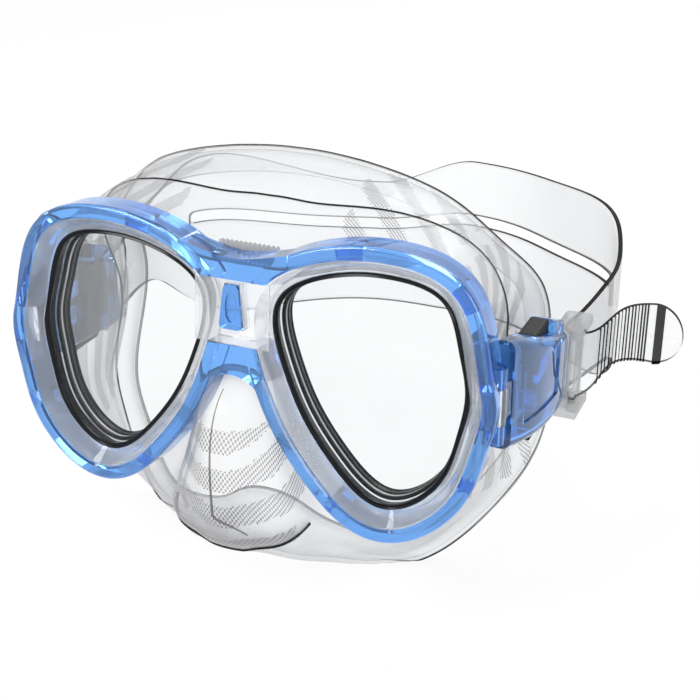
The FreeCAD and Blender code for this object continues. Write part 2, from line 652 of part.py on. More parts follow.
LOOP_LOW = STRAP_BOTTOM - STRAP_SIDE_GAP
LOOP_HIGH = STRAP_TOP + STRAP_SIDE_GAP


def strap_loop():
    """Clear loop behind the housing that carries the roller."""
    front = HOUSING_SECTIONS[-1][0] + FIT
    arms = []
    for z in ((LOOP_HIGH, LOOP_HIGH + LOOP_THICKNESS), (LOOP_LOW - LOOP_THICKNESS, LOOP_LOW)):
        arms.append(box((LOOP_IN, LOOP_OUT), (front, LOOP_BACK), z))
    reach = (LOOP_LOW - LOOP_THICKNESS, LOOP_HIGH + LOOP_THICKNESS)
    web = box((TONGUE_X[0], LOOP_OUT - 3), (front, front + LOOP_WEB), reach)
    bar = box((ROLLER_X - 0.8, ROLLER_X + 1.4), (LOOP_BACK - LOOP_BAR, LOOP_BACK), reach)
    body = fused(arms + [web, bar])
    corners = [edge for edge in body.Edges if abs(edge.Length - LOOP_THICKNESS) < 0.01
               and edge.CenterOfMass.y > LOOP_BACK - 0.5]
    body = body.makeFillet(2.0, corners)
    body = fused([body] + tongues(0))
    window = box((PAWL_X[0] - PAWL_GAP, PAWL_X[1] + PAWL_GAP), (0, BIG),
                 (PAWL_Z[0] - PAWL_GAP, PAWL_Z[1] + PAWL_GAP))
    bore = upright_cylinder(ROLLER_X, ROLLER_Y, ROLLER_PIN_RADIUS + ROLLER_PIN_GAP, (-BIG, BIG))
    return body.cut([window, bore])


def strap_roller():
    barrel = upright_cylinder(ROLLER_X, ROLLER_Y, ROLLER_RADIUS,
                              (LOOP_LOW + ROLLER_END_GAP, LOOP_HIGH - ROLLER_END_GAP))
    pin = upright_cylinder(ROLLER_X, ROLLER_Y, ROLLER_PIN_RADIUS,
                           (LOOP_LOW - LOOP_THICKNESS, LOOP_HIGH + LOOP_THICKNESS))
    return fused([barrel, pin])


# Strap

def ribbon(points, start_way, end_way):
    """A strip of the strap's thickness along a line of plan points, as a flat face."""
    line = Part.BSplineCurve()
    line.interpolate(Points=[vector(x, y, 0) for x, y in points],
                     InitialTangent=start_way, FinalTangent=end_way)
    sides = [[], []]
    count = 6 * len(points)
    for step in range(count + 1):
        share = step / count
        place, along = line.getD1(line.FirstParameter + (line.LastParameter - line.FirstParameter) * share)
        across = vector(-along.y, along.x, 0).normalize() * (STRAP_THICKNESS / 2)
        sides[0].append(place + across)
        sides[1].append(place - across)
    ends = [Part.makeLine(sides[0][-1], sides[1][-1]), Part.makeLine(sides[1][0], sides[0][0])]
    return Part.Face(Part.Wire([spline_edge(sides[0]), ends[0], spline_edge(sides[1][::-1]), ends[1]]))


def wrap_face(radius, start, end):
    """The strap's turn round the roller, between two angles."""
    def at(r, angle):
        turn = math.radians(angle)
        return vector(ROLLER_X + r * math.cos(turn), ROLLER_Y + r * math.sin(turn), 0)
    half = (start + end) / 2
    far, near = radius + STRAP_THICKNESS / 2, radius - STRAP_THICKNESS / 2
    return Part.Face(Part.Wire([
        Part.Arc(at(far, start), at(far, half), at(far, end)).toShape(),
        Part.makeLine(at(far, end), at(near, end)),
        Part.Arc(at(near, end), at(near, half), at(near, start)).toShape(),
        Part.makeLine(at(near, start), at(far, start))]))


def raised(face, z):
    face.translate(vector(0, 0, z[0]))
    return face.extrude(vector(0, 0, z[1] - z[0]))


def strap():
    radius = ROLLER_RADIUS + STRAP_ROLLER_GAP + STRAP_THICKNESS / 2
    inner_turn = (ROLLER_X - radius, ROLLER_Y)
    turn = math.radians(WRAP_END)
    outer_turn = (ROLLER_X + radius * math.cos(turn), ROLLER_Y + radius * math.sin(turn))
    leaving = vector(-math.sin(turn), math.cos(turn), 0)

    # Arm and back band: the plan line, cut to the side outline
    arm = raised(ribbon(STRAP_PLAN + [inner_turn], vector(1, 0, 0), vector(0, -1, 0)), (-80, 40))
    top = [vector(-BIG / 2, y, z) for y, z in [(inner_turn[1] - 5, STRAP_TOP)] + BAND_TOP]
    bottom = [vector(-BIG / 2, y, z) for y, z in BAND_BOTTOM + [(inner_turn[1] - 5, STRAP_BOTTOM)]]
    side = Part.Wire([spline_edge(top), Part.makeLine(top[-1], bottom[0]), spline_edge(bottom),
                      Part.makeLine(bottom[-1], top[0])])
    arm = arm.common(Part.Face(side).extrude(vector(BIG, 0, 0)))
    middle, radius_end = (SLIT_TOP + SLIT_BOTTOM) / 2, (SLIT_TOP - SLIT_BOTTOM) / 2
    slit = [box((-BIG, BIG), (SLIT_START, BIG), (SLIT_BOTTOM, SLIT_TOP)),
            Part.makeCylinder(radius_end, BIG, vector(0, SLIT_START, middle), vector(1, 0, 0))]
    arm = arm.cut(slit)

    wrap = raised(wrap_face(radius, 180, 360 + WRAP_END), (STRAP_BOTTOM, STRAP_TOP))

    # Tail: its own plan line, cut to its outline seen from the front
    tail = raised(ribbon([outer_turn] + TAIL_PLAN, leaving, vector(1, 0, 0)), (-60, 60))
    start = [(outer_turn[0] - 2, STRAP_TOP)] + TAIL_TOP
    end = TAIL_BOTTOM + [(outer_turn[0] - 2, STRAP_BOTTOM)]
    top = [vector(x, 0, z) for x, z in start]
    bottom = [vector(x, 0, z) for x, z in end]
    tip = Part.Arc(top[-1], vector(TAIL_TIP[0], 0, TAIL_TIP[1]), bottom[0]).toShape()
    front = Part.Wire([spline_edge(top), tip, spline_edge(bottom), Part.makeLine(bottom[-1], top[0])])
    tail = tail.common(Part.Face(front).extrude(vector(0, BIG, 0)))
    surface = TAIL_PLAN[-1][1] - STRAP_THICKNESS / 2
    grip = box(GRIP_X, (surface - GRIP_PROUD, surface + 0.5), GRIP_Z)
    return both(fused([arm, wrap, tail, grip]))


def build():
    """Every sub-part by name, before the move to the final origin."""
    left = {
        "lens": lens(),
        "lens_seal": lens_seal(),
        "hinge_pin": hinge_pin(),
        "buckle_housing": buckle_housing(),
        "buckle_back_plate": buckle_back_plate(),
        "upper_button": button(BUTTON_TOP, 1, BUTTON_DEPTHS[0]),
        "lower_button": button(BUTTON_LOW, -1, BUTTON_DEPTHS[1]),
        "pawl": pawl(),
        "pawl_spring": pawl_spring(),
        "strap_loop": strap_loop(),
        "strap_roller": strap_roller(),
    }
    nodes = {
        "front_frame": front_frame(),
        "inner_bezel": inner_bezel(),
        "bridge_plug": bridge_plug(),
        "skirt": skirt(),
        "strap": strap(),
    }
    for name, shape in left.items():
        nodes[name + "_left"] = shape
        nodes[name + "_right"] = mirrored(shape)
    return nodes


def main():
    os.makedirs("parts", exist_ok=True)
    nodes = build()
    whole = Part.makeCompound(list(nodes.values())).optimalBoundingBox(True, False)
    shift = vector(-(whole.XMin + whole.XMax) / 2, -(whole.YMin + whole.YMax) / 2, -whole.ZMin)
    print("size %.3f %.3f %.3f" % (whole.XLength, whole.YLength, whole.ZLength))
    print("shift %.4f %.4f %.4f" % (shift.x, shift.y, shift.z))
    for name, shape in nodes.items():
        shape.translate(shift)
        if not shape.isValid() or len(shape.Solids) != 1:
            print("CHECK", name, shape.isValid(), len(shape.Solids))
        print("%s %.1f mm3" % (name, shape.Volume))
        shape.exportStep("parts/%s.step" % name)


main()
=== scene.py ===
import math

import bmesh
import bpy
import numpy as np
from mathutils import Matrix, Vector


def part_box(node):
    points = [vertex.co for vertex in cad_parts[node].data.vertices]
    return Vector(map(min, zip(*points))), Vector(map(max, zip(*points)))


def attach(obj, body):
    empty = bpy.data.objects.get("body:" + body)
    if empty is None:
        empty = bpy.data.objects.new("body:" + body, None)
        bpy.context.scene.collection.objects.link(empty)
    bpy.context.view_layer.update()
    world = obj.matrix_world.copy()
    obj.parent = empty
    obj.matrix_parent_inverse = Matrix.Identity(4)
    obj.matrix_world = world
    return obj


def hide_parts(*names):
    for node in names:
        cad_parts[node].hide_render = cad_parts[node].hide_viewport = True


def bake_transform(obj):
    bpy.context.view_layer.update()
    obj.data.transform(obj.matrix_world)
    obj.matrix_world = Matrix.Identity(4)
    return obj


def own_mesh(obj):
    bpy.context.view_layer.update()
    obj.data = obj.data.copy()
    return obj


# Looks of the diving mask. Sizes are in millimetres in the part's design axes (X to the wearer's
# left, Y back, Z up, the lens rings' middles at Z 0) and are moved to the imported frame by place().
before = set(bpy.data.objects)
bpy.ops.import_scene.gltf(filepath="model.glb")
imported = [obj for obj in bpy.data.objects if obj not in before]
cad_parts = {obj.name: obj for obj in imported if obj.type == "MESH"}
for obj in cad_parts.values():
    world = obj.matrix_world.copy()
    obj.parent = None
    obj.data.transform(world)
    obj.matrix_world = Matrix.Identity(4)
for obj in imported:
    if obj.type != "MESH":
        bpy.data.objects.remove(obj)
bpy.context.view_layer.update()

HINGE = np.array([77.2, 6.0, -1.0])       # middle of the left hinge pin in the design axes
PIN_LOW, PIN_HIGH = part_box("hinge_pin_left")
SHIFT = np.array((PIN_LOW + PIN_HIGH) / 2) * 1000 - HINGE


def place(points):
    """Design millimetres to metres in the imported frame."""
    return (np.asarray(points, float) + SHIFT) / 1000


# Curves

def spline(points, count, closed=False):
    """Points along the smooth curve through the given ones, evenly spaced by chord."""
    p = np.asarray(points, float)
    if closed:
        p = np.vstack([p, p[:1]])
    n = len(p)
    h = np.linalg.norm(np.diff(p, axis=0), axis=1)
    t = np.concatenate([[0], np.cumsum(h)])
    slope = np.diff(p, axis=0) / h[:, None]
    a, b = np.zeros((n, n)), np.zeros(p.shape)
    for i in range(1, n - 1):
        a[i, i - 1], a[i, i], a[i, i + 1] = h[i - 1], 2 * (h[i - 1] + h[i]), h[i]
        b[i] = 6 * (slope[i] - slope[i - 1])
    if closed:
        a[0, 0], a[0, 1], a[0, n - 2] = 2 * (h[-1] + h[0]), h[0], h[-1]
        b[0] = 6 * (slope[0] - slope[-1])
        a[-1, 0], a[-1, -1] = 1, -1
    else:
        a[0, 0] = a[-1, -1] = 1
    bend = np.linalg.solve(a, b)
    s = np.linspace(0, t[-1], count, endpoint=not closed)
    i = np.clip(np.searchsorted(t, s, side="right") - 1, 0, n - 2)
    left, right, width = s - t[i], t[i + 1] - s, h[i]
    curve = bend[i] * right[:, None] ** 3 + bend[i + 1] * left[:, None] ** 3
    curve = curve / (6 * width[:, None])
    curve += (p[i] / width[:, None] - bend[i] * width[:, None] / 6) * right[:, None]
    curve += (p[i + 1] / width[:, None] - bend[i + 1] * width[:, None] / 6) * left[:, None]
    return curve


def smooth_step(x, low, high):
    """0 below low, 1 above high, and an even rise between them."""
    t = np.clip((np.asarray(x, float) - low) / (high - low), 0, 1)
    return t * t * (3 - 2 * t)


# Meshes

def mesh_piece(name, points, faces, materials, smooth=True):
    mesh = bpy.data.meshes.new(name)
    mesh.from_pydata([tuple(p) for p in place(points)], [], faces)
    mesh.validate()
    for material in materials:
        mesh.materials.append(material)
    mesh.polygons.foreach_set("use_smooth", [smooth] * len(mesh.polygons))
    piece = bpy.data.objects.new(name, mesh)
    bpy.context.scene.collection.objects.link(piece)
    return piece


def grid_faces(rows, columns, close_rows=False, close_columns=False):
    """The four-sided faces of a grid of points that is numbered row by row."""
    faces = []
    for i in range(rows if close_rows else rows - 1):
        for j in range(columns if close_columns else columns - 1):
            a, b = i * columns + j, i * columns + (j + 1) % columns
            c, d = (i + 1) % rows * columns + (j + 1) % columns, (i + 1) % rows * columns + j
            faces.append((a, b, c, d))
    return faces


def finished(piece):
    """The piece with its modifiers applied and its faces turned outward."""
    graph = bpy.context.evaluated_depsgraph_get()
    mesh = bpy.data.meshes.new_from_object(piece.evaluated_get(graph))
    piece.modifiers.clear()
    piece.data = mesh
    work = bmesh.new()
    work.from_mesh(mesh)
    bmesh.ops.recalc_face_normals(work, faces=work.faces)
    work.to_mesh(mesh)
    work.free()
    return piece


def bevelled(piece, width, segments=3, angle=40):
    bevel = piece.modifiers.new("bevel", "BEVEL")
    bevel.width = width / 1000
    bevel.segments = segments
    bevel.limit_method = "ANGLE"
    bevel.angle_limit = math.radians(angle)
    return finished(piece)


def on_side(points, side):
    """The left side's points as they are, or their mirror image for the right side."""
    return np.asarray(points) * np.array([-1 if side == "right" else 1, 1, 1])


# Lens rings: the same outline and plane as the solids

EYE_SPACING = 98.6            # between the middles of the two rings
YAW, TILT = math.radians(3.3), math.radians(5.1)      # each ring faces a little outward and up
EDGE_POINTS = 240
FINE_BEVEL = 0.12
ALONG = np.array([math.cos(YAW), math.sin(YAW), 0])
OUT = np.array([math.sin(YAW) * math.cos(TILT), -math.cos(YAW) * math.cos(TILT), math.sin(TILT)])
UP = np.cross(OUT, ALONG)
RING_MIDDLE = np.array([EYE_SPACING / 2, 0, 0])
LENS_OUTLINE = [(20.9, 2.4), (18.4, 14.6), (12.6, 28.9), (-2.7, 33.7), (-19.8, 32.1), (-36.6, 22.0),
                (-34.7, 2.4), (-28.3, -12.4), (-18.9, -25.7), (-2.7, -37.2), (13.9, -26.3), (19.3, -10.3)]
EDGE = spline(LENS_OUTLINE, EDGE_POINTS, closed=True)
STEP = np.roll(EDGE, -1, axis=0) - np.roll(EDGE, 1, axis=0)
OUTWARD = np.stack([STEP[:, 1], -STEP[:, 0]], 1) / np.linalg.norm(STEP, axis=1)[:, None]


def on_ring(flat, depth):
    """Ring-plane points at a depth, as design points."""
    return RING_MIDDLE + flat[:, :1] * ALONG + flat[:, 1:] * UP + np.reshape(depth, (-1, 1)) * OUT


def ring_sweep(name, profile, material, side):
    """A closed ring round one lens from a closed profile of (distance past the lens edge, depth)."""
    count = len(profile)
    points = np.zeros((len(EDGE), count, 3))
    for j, (gap, depth) in enumerate(profile):
        points[:, j] = on_ring(EDGE + OUTWARD * gap, np.full(len(EDGE), depth))
    points = on_side(points.reshape(-1, 3), side)
    piece = mesh_piece(name, points, grid_faces(len(EDGE), count, True, True), [material])
    return bevelled(piece, FINE_BEVEL, 2, 50)


# Materials

def shader(name):
    material = bpy.data.materials.new(name)
    material.use_nodes = True
    tree = material.node_tree
    return material, tree, tree.nodes["Principled BSDF"], tree.nodes["Material Output"]


def fine_noise(tree, scale, detail=4.0):
    place_node = tree.nodes.new("ShaderNodeTexCoord")
    noise = tree.nodes.new("ShaderNodeTexNoise")
    noise.inputs["Scale"].default_value = scale
    noise.inputs["Detail"].default_value = detail
    tree.links.new(place_node.outputs["Object"], noise.inputs["Vector"])
    return noise


def ranged(tree, value, low, high):
    span = tree.nodes.new("ShaderNodeMapRange")
    span.inputs["To Min"].default_value = low
    span.inputs["To Max"].default_value = high
    tree.links.new(value, span.inputs["Value"])
    return span.outputs["Result"]


def tinted(tree, value, low, high):
    """A colour that varies between two along a value."""
    mix = tree.nodes.new("ShaderNodeMix")
    mix.data_type = "RGBA"
    mix.inputs["A"].default_value = (*low, 1)
    mix.inputs["B"].default_value = (*high, 1)
    tree.links.new(value, mix.inputs["Factor"])
    return mix.outputs["Result"]


def bump(tree, bsdf, value, strength, distance):
    node = tree.nodes.new("ShaderNodeBump")
    node.inputs["Strength"].default_value = strength
    node.inputs["Distance"].default_value = distance
    tree.links.new(value, node.inputs["Height"])
    tree.links.new(node.outputs["Normal"], bsdf.inputs["Normal"])


CLOUD_SCALE, GRAIN_SCALE, GRAIN_DEPTH = 35.0, 900.0, 0.0001
SILICONE_TINT = (0.983, 0.988, 0.991, 1)      # what one wall of clear silicone lets through
SILICONE_CLOUD_SCALE, SILICONE_CLOUD = 40.0, 0.035


def mixed(tree, share, first, second, output):
    """Sends a mix of two shaders to the material's output."""
    mix = tree.nodes.new("ShaderNodeMixShader")
    if isinstance(share, float):
        mix.inputs["Fac"].default_value = share
    else:
        tree.links.new(share, mix.inputs["Fac"])
    tree.links.new(first, mix.inputs[1])
    tree.links.new(second, mix.inputs[2])
    tree.links.new(mix.outputs["Shader"], output.inputs["Surface"])


def plastic(name, low, high, rough, transmission=0.0, ior=1.5, coat=0.0, grain=0.0, open_share=0.0,
            specular=0.5, metallic=0.0):
    """Moulded plastic, rubber or steel: cloudy colour, uneven gloss and an optional grain."""
    material, tree, bsdf, output = shader(name)
    cloud = fine_noise(tree, CLOUD_SCALE)
    tree.links.new(tinted(tree, cloud.outputs["Fac"], low, high), bsdf.inputs["Base Color"])
    fine = fine_noise(tree, GRAIN_SCALE, 2.0)
    tree.links.new(ranged(tree, fine.outputs["Fac"], rough[0], rough[1]), bsdf.inputs["Roughness"])
    bsdf.inputs["Transmission Weight"].default_value = transmission
    bsdf.inputs["IOR"].default_value = ior
    bsdf.inputs["Coat Weight"].default_value = coat
    bsdf.inputs["Coat Roughness"].default_value = 0.03
    bsdf.inputs["Specular IOR Level"].default_value = specular
    bsdf.inputs["Metallic"].default_value = metallic
    if grain:
        bump(tree, bsdf, fine.outputs["Fac"], grain, GRAIN_DEPTH)
    if open_share:
        clear = tree.nodes.new("ShaderNodeBsdfTransparent")
        mixed(tree, open_share, bsdf.outputs["BSDF"], clear.outputs["BSDF"], output)
    return material


def see_through(name, face_on, edge_on, face_on_tone, edge_on_shade, rough, blend=0.35, pattern=None,
                specular=0.5):
    """Clear silicone or glass: light passes face on, and the wall covers more where it is seen edge on,
    where its colour turns from the face-on tone to a painted shade.
    """
    material, tree, bsdf, output = shader(name)
    cloud = fine_noise(tree, SILICONE_CLOUD_SCALE)
    bsdf.inputs["Roughness"].default_value = rough
    bsdf.inputs["IOR"].default_value = 1.42
    bsdf.inputs["Specular IOR Level"].default_value = specular
    weight = tree.nodes.new("ShaderNodeLayerWeight")
    weight.inputs["Blend"].default_value = blend
    # Painted shade: the colour goes from the first colour to the second as the wall turns edge on
    shade = tinted(tree, ranged(tree, weight.outputs["Facing"], 0, 1), face_on_tone, edge_on_shade)
    tree.links.new(shade, bsdf.inputs["Base Color"])
    cover = ranged(tree, weight.outputs["Facing"], face_on, edge_on)
    value = math_node(tree, "ADD", math_node(tree, "MULTIPLY", cloud.outputs["Fac"], SILICONE_CLOUD), cover)
    if pattern:
        value, mask = pattern(tree, value)
        mix = tree.nodes.new("ShaderNodeMix")
        mix.data_type = "RGBA"
        mix.inputs["B"].default_value = (*DOT_GREY_AND_LOBE_SHADE, 1)
        tree.links.new(mask, mix.inputs["Factor"])
        tree.links.new(shade, mix.inputs["A"])
        tree.links.new(mix.outputs["Result"], bsdf.inputs["Base Color"])
    clear = tree.nodes.new("ShaderNodeBsdfTransparent")
    clear.inputs["Color"].default_value = SILICONE_TINT
    mixed(tree, value, clear.outputs["BSDF"], bsdf.outputs["BSDF"], output)
    return material


def math_node(tree, operation, first, second=None):
    node = tree.nodes.new("ShaderNodeMath")
    node.operation = operation
    for socket, value in zip(node.inputs, (first, second)):
        if isinstance(value, (int, float)):
            socket.default_value = value
        elif value is not None:
            tree.links.new(value, socket)
    return node.outputs["Value"]


DOT_PITCH = 1.2               # mm between the dots of the matt bands
DOT_CUT = 0.10                # a higher cut makes smaller dots
# Dark grey of the matt dots, also used for the lobe's grey, which is partly painted shade
DOT_GREY_AND_LOBE_SHADE = (0.16, 0.16, 0.165)
DOT_COVER, BAND_COVER = 0.5, 0.05     # how much light a dot holds back, and the band between dots
# The lobe's grey is partly the thicker silicone and partly painted shade
LOBE_COVER, LOBE_GREY_AND_SHADE = 0.45, 0.7     # the same for the nose's thick lobe, and how grey it is


def matt_dots(tree, value):
    """The wall's cover and greyness, with dots on the unrolled wall where the mesh marks a band, and the
    thick lobe where it marks that, whose grey is partly painted shade."""
    uv = tree.nodes.new("ShaderNodeUVMap")
    split = tree.nodes.new("ShaderNodeSeparateXYZ")
    tree.links.new(uv.outputs["UV"], split.inputs["Vector"])
    turn = 2 * math.pi / DOT_PITCH
    across = math_node(tree, "SINE", math_node(tree, "MULTIPLY", split.outputs["X"], turn))
    down = math_node(tree, "SINE", math_node(tree, "MULTIPLY", split.outputs["Y"], turn))
    dots = math_node(tree, "GREATER_THAN", math_node(tree, "MULTIPLY", across, down), DOT_CUT)
    mark = tree.nodes.new("ShaderNodeAttribute")
    mark.attribute_name = "matt"
    band = math_node(tree, "GREATER_THAN", mark.outputs["Fac"], 0.5)
    base = math_node(tree, "MULTIPLY", band, BAND_COVER)
    mask = math_node(tree, "MULTIPLY", dots, band)
    cover = math_node(tree, "ADD", math_node(tree, "MULTIPLY", mask, DOT_COVER), base)
    thick = tree.nodes.new("ShaderNodeAttribute")
    thick.attribute_name = "lobe"
    cover = math_node(tree, "ADD", cover, math_node(tree, "MULTIPLY", thick.outputs["Fac"], LOBE_COVER))
    # The lobe's grey here is partly painted shade
    grey = math_node(tree, "MAXIMUM", mask, math_node(tree, "MULTIPLY", thick.outputs["Fac"], LOBE_GREY_AND_SHADE))
    return math_node(tree, "ADD", value, cover), grey


BLUE = plastic("frame_blue", (0.10, 0.37, 0.94), (0.21, 0.51, 1.0), (0.015, 0.05), transmission=0.93,
               ior=1.49, coat=0.3)
CLEAR = plastic("clear_plastic", (0.90, 0.93, 0.96), (0.97, 0.98, 1.0), (0.03, 0.09), transmission=0.92,
                ior=1.45)
BEZEL = plastic("bezel_clear", (0.93, 0.95, 0.98), (0.98, 0.99, 1.0), (0.02, 0.06), transmission=0.85,
                ior=1.45, open_share=0.15)
# Grey for a painted reflection line in the black collar
COLLAR_REFLECTION_GREY = plastic("collar_grey", (0.42, 0.41, 0.40), (0.55, 0.54, 0.52), (0.2, 0.35))
BLACK = plastic("seal_black", (0.003, 0.003, 0.004), (0.007, 0.007, 0.009), (0.10, 0.22), specular=0.22)
BUTTON = plastic("button_black", (0.004, 0.004, 0.004), (0.010, 0.010, 0.011), (0.35, 0.55), grain=0.35,
                 specular=0.15)
STEEL = plastic("steel", (0.55, 0.56, 0.58), (0.70, 0.71, 0.73), (0.18, 0.32), metallic=1.0)
# In each see-through material below, the second colour is the painted shade of its wall seen edge on
LENS = see_through("lens_glass", 0.0, 0.30, (0.40, 0.43, 0.45), (0.62, 0.66, 0.69), 0.02, blend=0.12)
SKIRT = see_through("skirt_silicone", 0.02, 0.75, (0.84, 0.84, 0.85), (0.10, 0.10, 0.105), 0.12,
                    blend=0.28, pattern=matt_dots)
# Painted shade: near-black for the skirt wall's cut edges and the nose's crease bead
SKIRT_EDGE_SHADE = see_through("skirt_edge", 0.55, 0.95, (0.16, 0.16, 0.165), (0.01, 0.01, 0.01), 0.12)
# Painted shade: near-black for the thin beads along the skirt's turns
SKIRT_SHADE_LINE = see_through("skirt_line", 0.80, 0.98, (0.010, 0.010, 0.010), (0.004, 0.004, 0.004), 0.3,
                         specular=0.03)
STRAP = see_through("strap_silicone", 0.03, 0.65, (0.86, 0.86, 0.87), (0.12, 0.12, 0.125), 0.10, blend=0.25)
# Painted shade: near-black for the strap's edge faces and the tops of the tail's ribs and grip bar
STRAP_EDGE_SHADE = see_through("strap_edge", 0.92, 1.0, (0.002, 0.002, 0.002), (0.001, 0.001, 0.001), 0.3,
                         specular=0.03)
LOOP = see_through("loop_clear", 0.16, 0.92, (0.80, 0.81, 0.82), (0.02, 0.02, 0.022), 0.05, blend=0.42)


# Lenses and seals

# Each outline is a list of (distance past the lens edge, depth in front of the ring's plane)
SEAL_OUTLINE = [(0.75, -5.5), (0.75, -0.95), (0.55, -0.72), (-0.1, -1.32), (-0.75, -0.72), (-0.95, -1.1),
                (-0.95, -1.98), (0.06, -1.98), (0.06, -5.5)]
COLLAR_OUTLINE = [(-0.3, -5.6), (-1.5, -5.6), (-1.5, -6.3), (-1.0, -6.8), (-1.0, -7.9), (-1.5, -8.4),
                  (-1.5, -9.3), (-1.0, -9.8), (-1.0, -10.6), (-1.5, -11.2), (-1.1, -11.6), (-0.7, -11.2),
                  (-0.7, -7.8), (-0.3, -7.6)]
COLLAR_REFLECTION_LINE = [(-0.95, -6.95), (-1.25, -6.95), (-1.25, -7.75), (-0.95, -7.75)]
# Outline of the collar's grey line, a painted reflection
LENS_RIMS = [(-0.45, -2.0), (0.0, -2.4), (0.0, -5.1), (-0.45, -5.5)]
FLANGE_OUTLINE = [(4.7, -5.52), (-0.6, -5.52), (-0.6, -7.5), (4.7, -7.5)]


def eye_pieces(side):
    seal = ring_sweep("seal_" + side, SEAL_OUTLINE, BLACK, side)
    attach(seal, "mask")
    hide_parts("lens_seal_" + side)
    # The ribbed black collar behind the lens, which grips the skirt's opening, and a grey line in it that is
    # a painted reflection
    collar = ring_sweep("collar_" + side, COLLAR_OUTLINE, BLACK, side)
    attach(collar, "mask")
    line = ring_sweep("collar_line_" + side, COLLAR_REFLECTION_LINE, COLLAR_REFLECTION_GREY, side)
    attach(line, "mask")

    # The lens: two faces with a ground edge
    count, rings = len(EDGE), len(LENS_RIMS)
    points = np.vstack([on_ring(EDGE + OUTWARD * gap, np.full(count, depth)) for gap, depth in LENS_RIMS])
    points = on_side(points, side)
    faces = [(r * count + k, r * count + (k + 1) % count,
              (r + 1) * count + (k + 1) % count, (r + 1) * count + k)
             for r in range(rings - 1) for k in range(count)]
    faces += [tuple(range(count)), tuple(range((rings - 1) * count, rings * count))]
    lens = finished(mesh_piece("glass_" + side, points, faces, [LENS], smooth=False))
    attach(lens, "mask")
    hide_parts("lens_" + side)


# Skirt: the same rows as the solid, from the forehead round the left side to the nose's ridge

WALL, LIP_WALL = 2.0, 1.2     # wall at the lenses and at the lip
SKIRT_LIP, SKIRT_ROLL = 7.0, 2.2
REST_LEVEL = -73.75           # the skirt goes no lower, where it rests on the table
PLATE_DEPTH = -6.5            # where the wall starts behind the lens rings
# Rows down the wall: place on the ring (x, z), rim (x, y, z), way the wall bulges in degrees, bulge
SKIRT_SIDE = [
    ((0.0, 30.0), (0.0, 43.0, 52.8), 90, 4.5),
    ((3.0, 30.0), (3.5, 43.0, 52.8), 90, 4.5),
    ((12.0, 30.0), (14.0, 42.8, 52.2), 90, 4.0),
    ((30.0, 34.5), (34.0, 42.0, 49.0), 84, 3.0),
    ((47.0, 35.6), (50.0, 42.5, 43.0), 74, 2.0),
    ((62.8, 30.8), (64.0, 47.0, 30.5), 48, 0.5),
    ((68.9, 16.0), (73.5, 54.0, 18.5), 22, -4.0),
    ((71.4, 0.0), (76.5, 61.0, 0.0), 0, -8.0),
    ((69.8, -11.0), (78.3, 56.5, -27.0), -8, -7.5),
    ((64.2, -28.0), (74.5, 48.0, -43.0), -30, -1.5),
    ((56.0, -34.5), (62.0, 39.0, -60.5), -55, 1.0),
    ((46.5, -39.0), (43.0, 28.0, -74.0), -82, 1.5)]
# Rows over the nose pocket: place on the ring, three points on the way down, rim
SKIRT_NOSE = [
    ((30.0, -27.0), [(27.0, 8.5, -38.0), (23.5, 3.0, -50.0), (22.0, 5.0, -62.0)], (23.0, 22.0, -71.5)),
    ((18.0, -13.5), [(15.0, 1.5, -19.0), (15.2, -10.0, -38.0), (15.5, -6.0, -58.0)], (15.0, 18.0, -66.0)),
    ((8.5, -5.5), [(8.0, -7.0, -11.0), (8.8, -14.5, -36.0), (8.8, -8.0, -57.5)], (8.0, 16.0, -61.0)),
    ((3.0, -2.8), [(3.0, -10.5, -8.2), (3.2, -17.4, -34.2), (3.2, -9.4, -57.5)], (3.0, 15.0, -59.2)),
    ((0.0, -2.5), [(0.0, -10.8, -8.0), (0.0, -17.8, -34.0), (0.0, -9.6, -57.5)], (0.0, 14.9, -59.0))]
SIDE_STEPS = [0.3, 0.6, 0.88]
AROUND, DOWN = 420, 90        # faces round the skirt and down its wall


def plate_point(x, z, depth):
    """The point of the left ring's plane, at a depth, that lies at x and z."""
    rest = np.array([x, 0, z]) - RING_MIDDLE
    y = (depth - rest @ OUT) / OUT[1]
    return np.array([x, y, z])


def rolled(end, before, out):
    along = (end - before) / np.linalg.norm(end - before)
    return [end, end + along * (SKIRT_ROLL * 0.6) - out * SKIRT_ROLL, end - out * SKIRT_LIP]


def skirt_rows():
    rows = []
    for (x, z), rim, facing, bulge in SKIRT_SIDE:
        start, end = plate_point(x, z, PLATE_DEPTH), np.array(rim)
        out = np.array([math.cos(math.radians(facing)), 0, math.sin(math.radians(facing))])
        middle = [start + (end - start) * t + out * bulge * math.sin(math.pi * t) for t in SIDE_STEPS]
        rows.append([start] + middle + rolled(end, middle[-1], out))
    for (x, z), middle, rim in SKIRT_NOSE:
        middle = [np.array(point) for point in middle]
        rows.append([plate_point(x, z, PLATE_DEPTH)] + middle
                    + rolled(np.array(rim), middle[-1], np.array([0, 0, -1])))
    right = [[p * np.array([-1, 1, 1]) for p in row] for row in reversed(rows[1:-1])]
    return np.array(rows + right)


def skirt_surface():
    """The inner face of the wall as a grid: round the skirt, then down from plate to lip."""
    rows = skirt_rows()
    loops = np.stack([spline(rows[:, k], AROUND, closed=True) for k in range(rows.shape[1])], 1)
    return np.stack([spline(loops[i], DOWN) for i in range(AROUND)])


def grid_normals(grid):
    round_way = np.roll(grid, -1, axis=0) - np.roll(grid, 1, axis=0)
    down = np.gradient(grid, axis=1)
    normal = np.cross(round_way, down)
    return normal / np.linalg.norm(normal, axis=2)[:, :, None]


NOSE_BANDS, TEMPLE_BANDS, BROW_BANDS = (12.5, 7.5), (9.0, 5.0), (14.0, 6.0)     # pitch and width


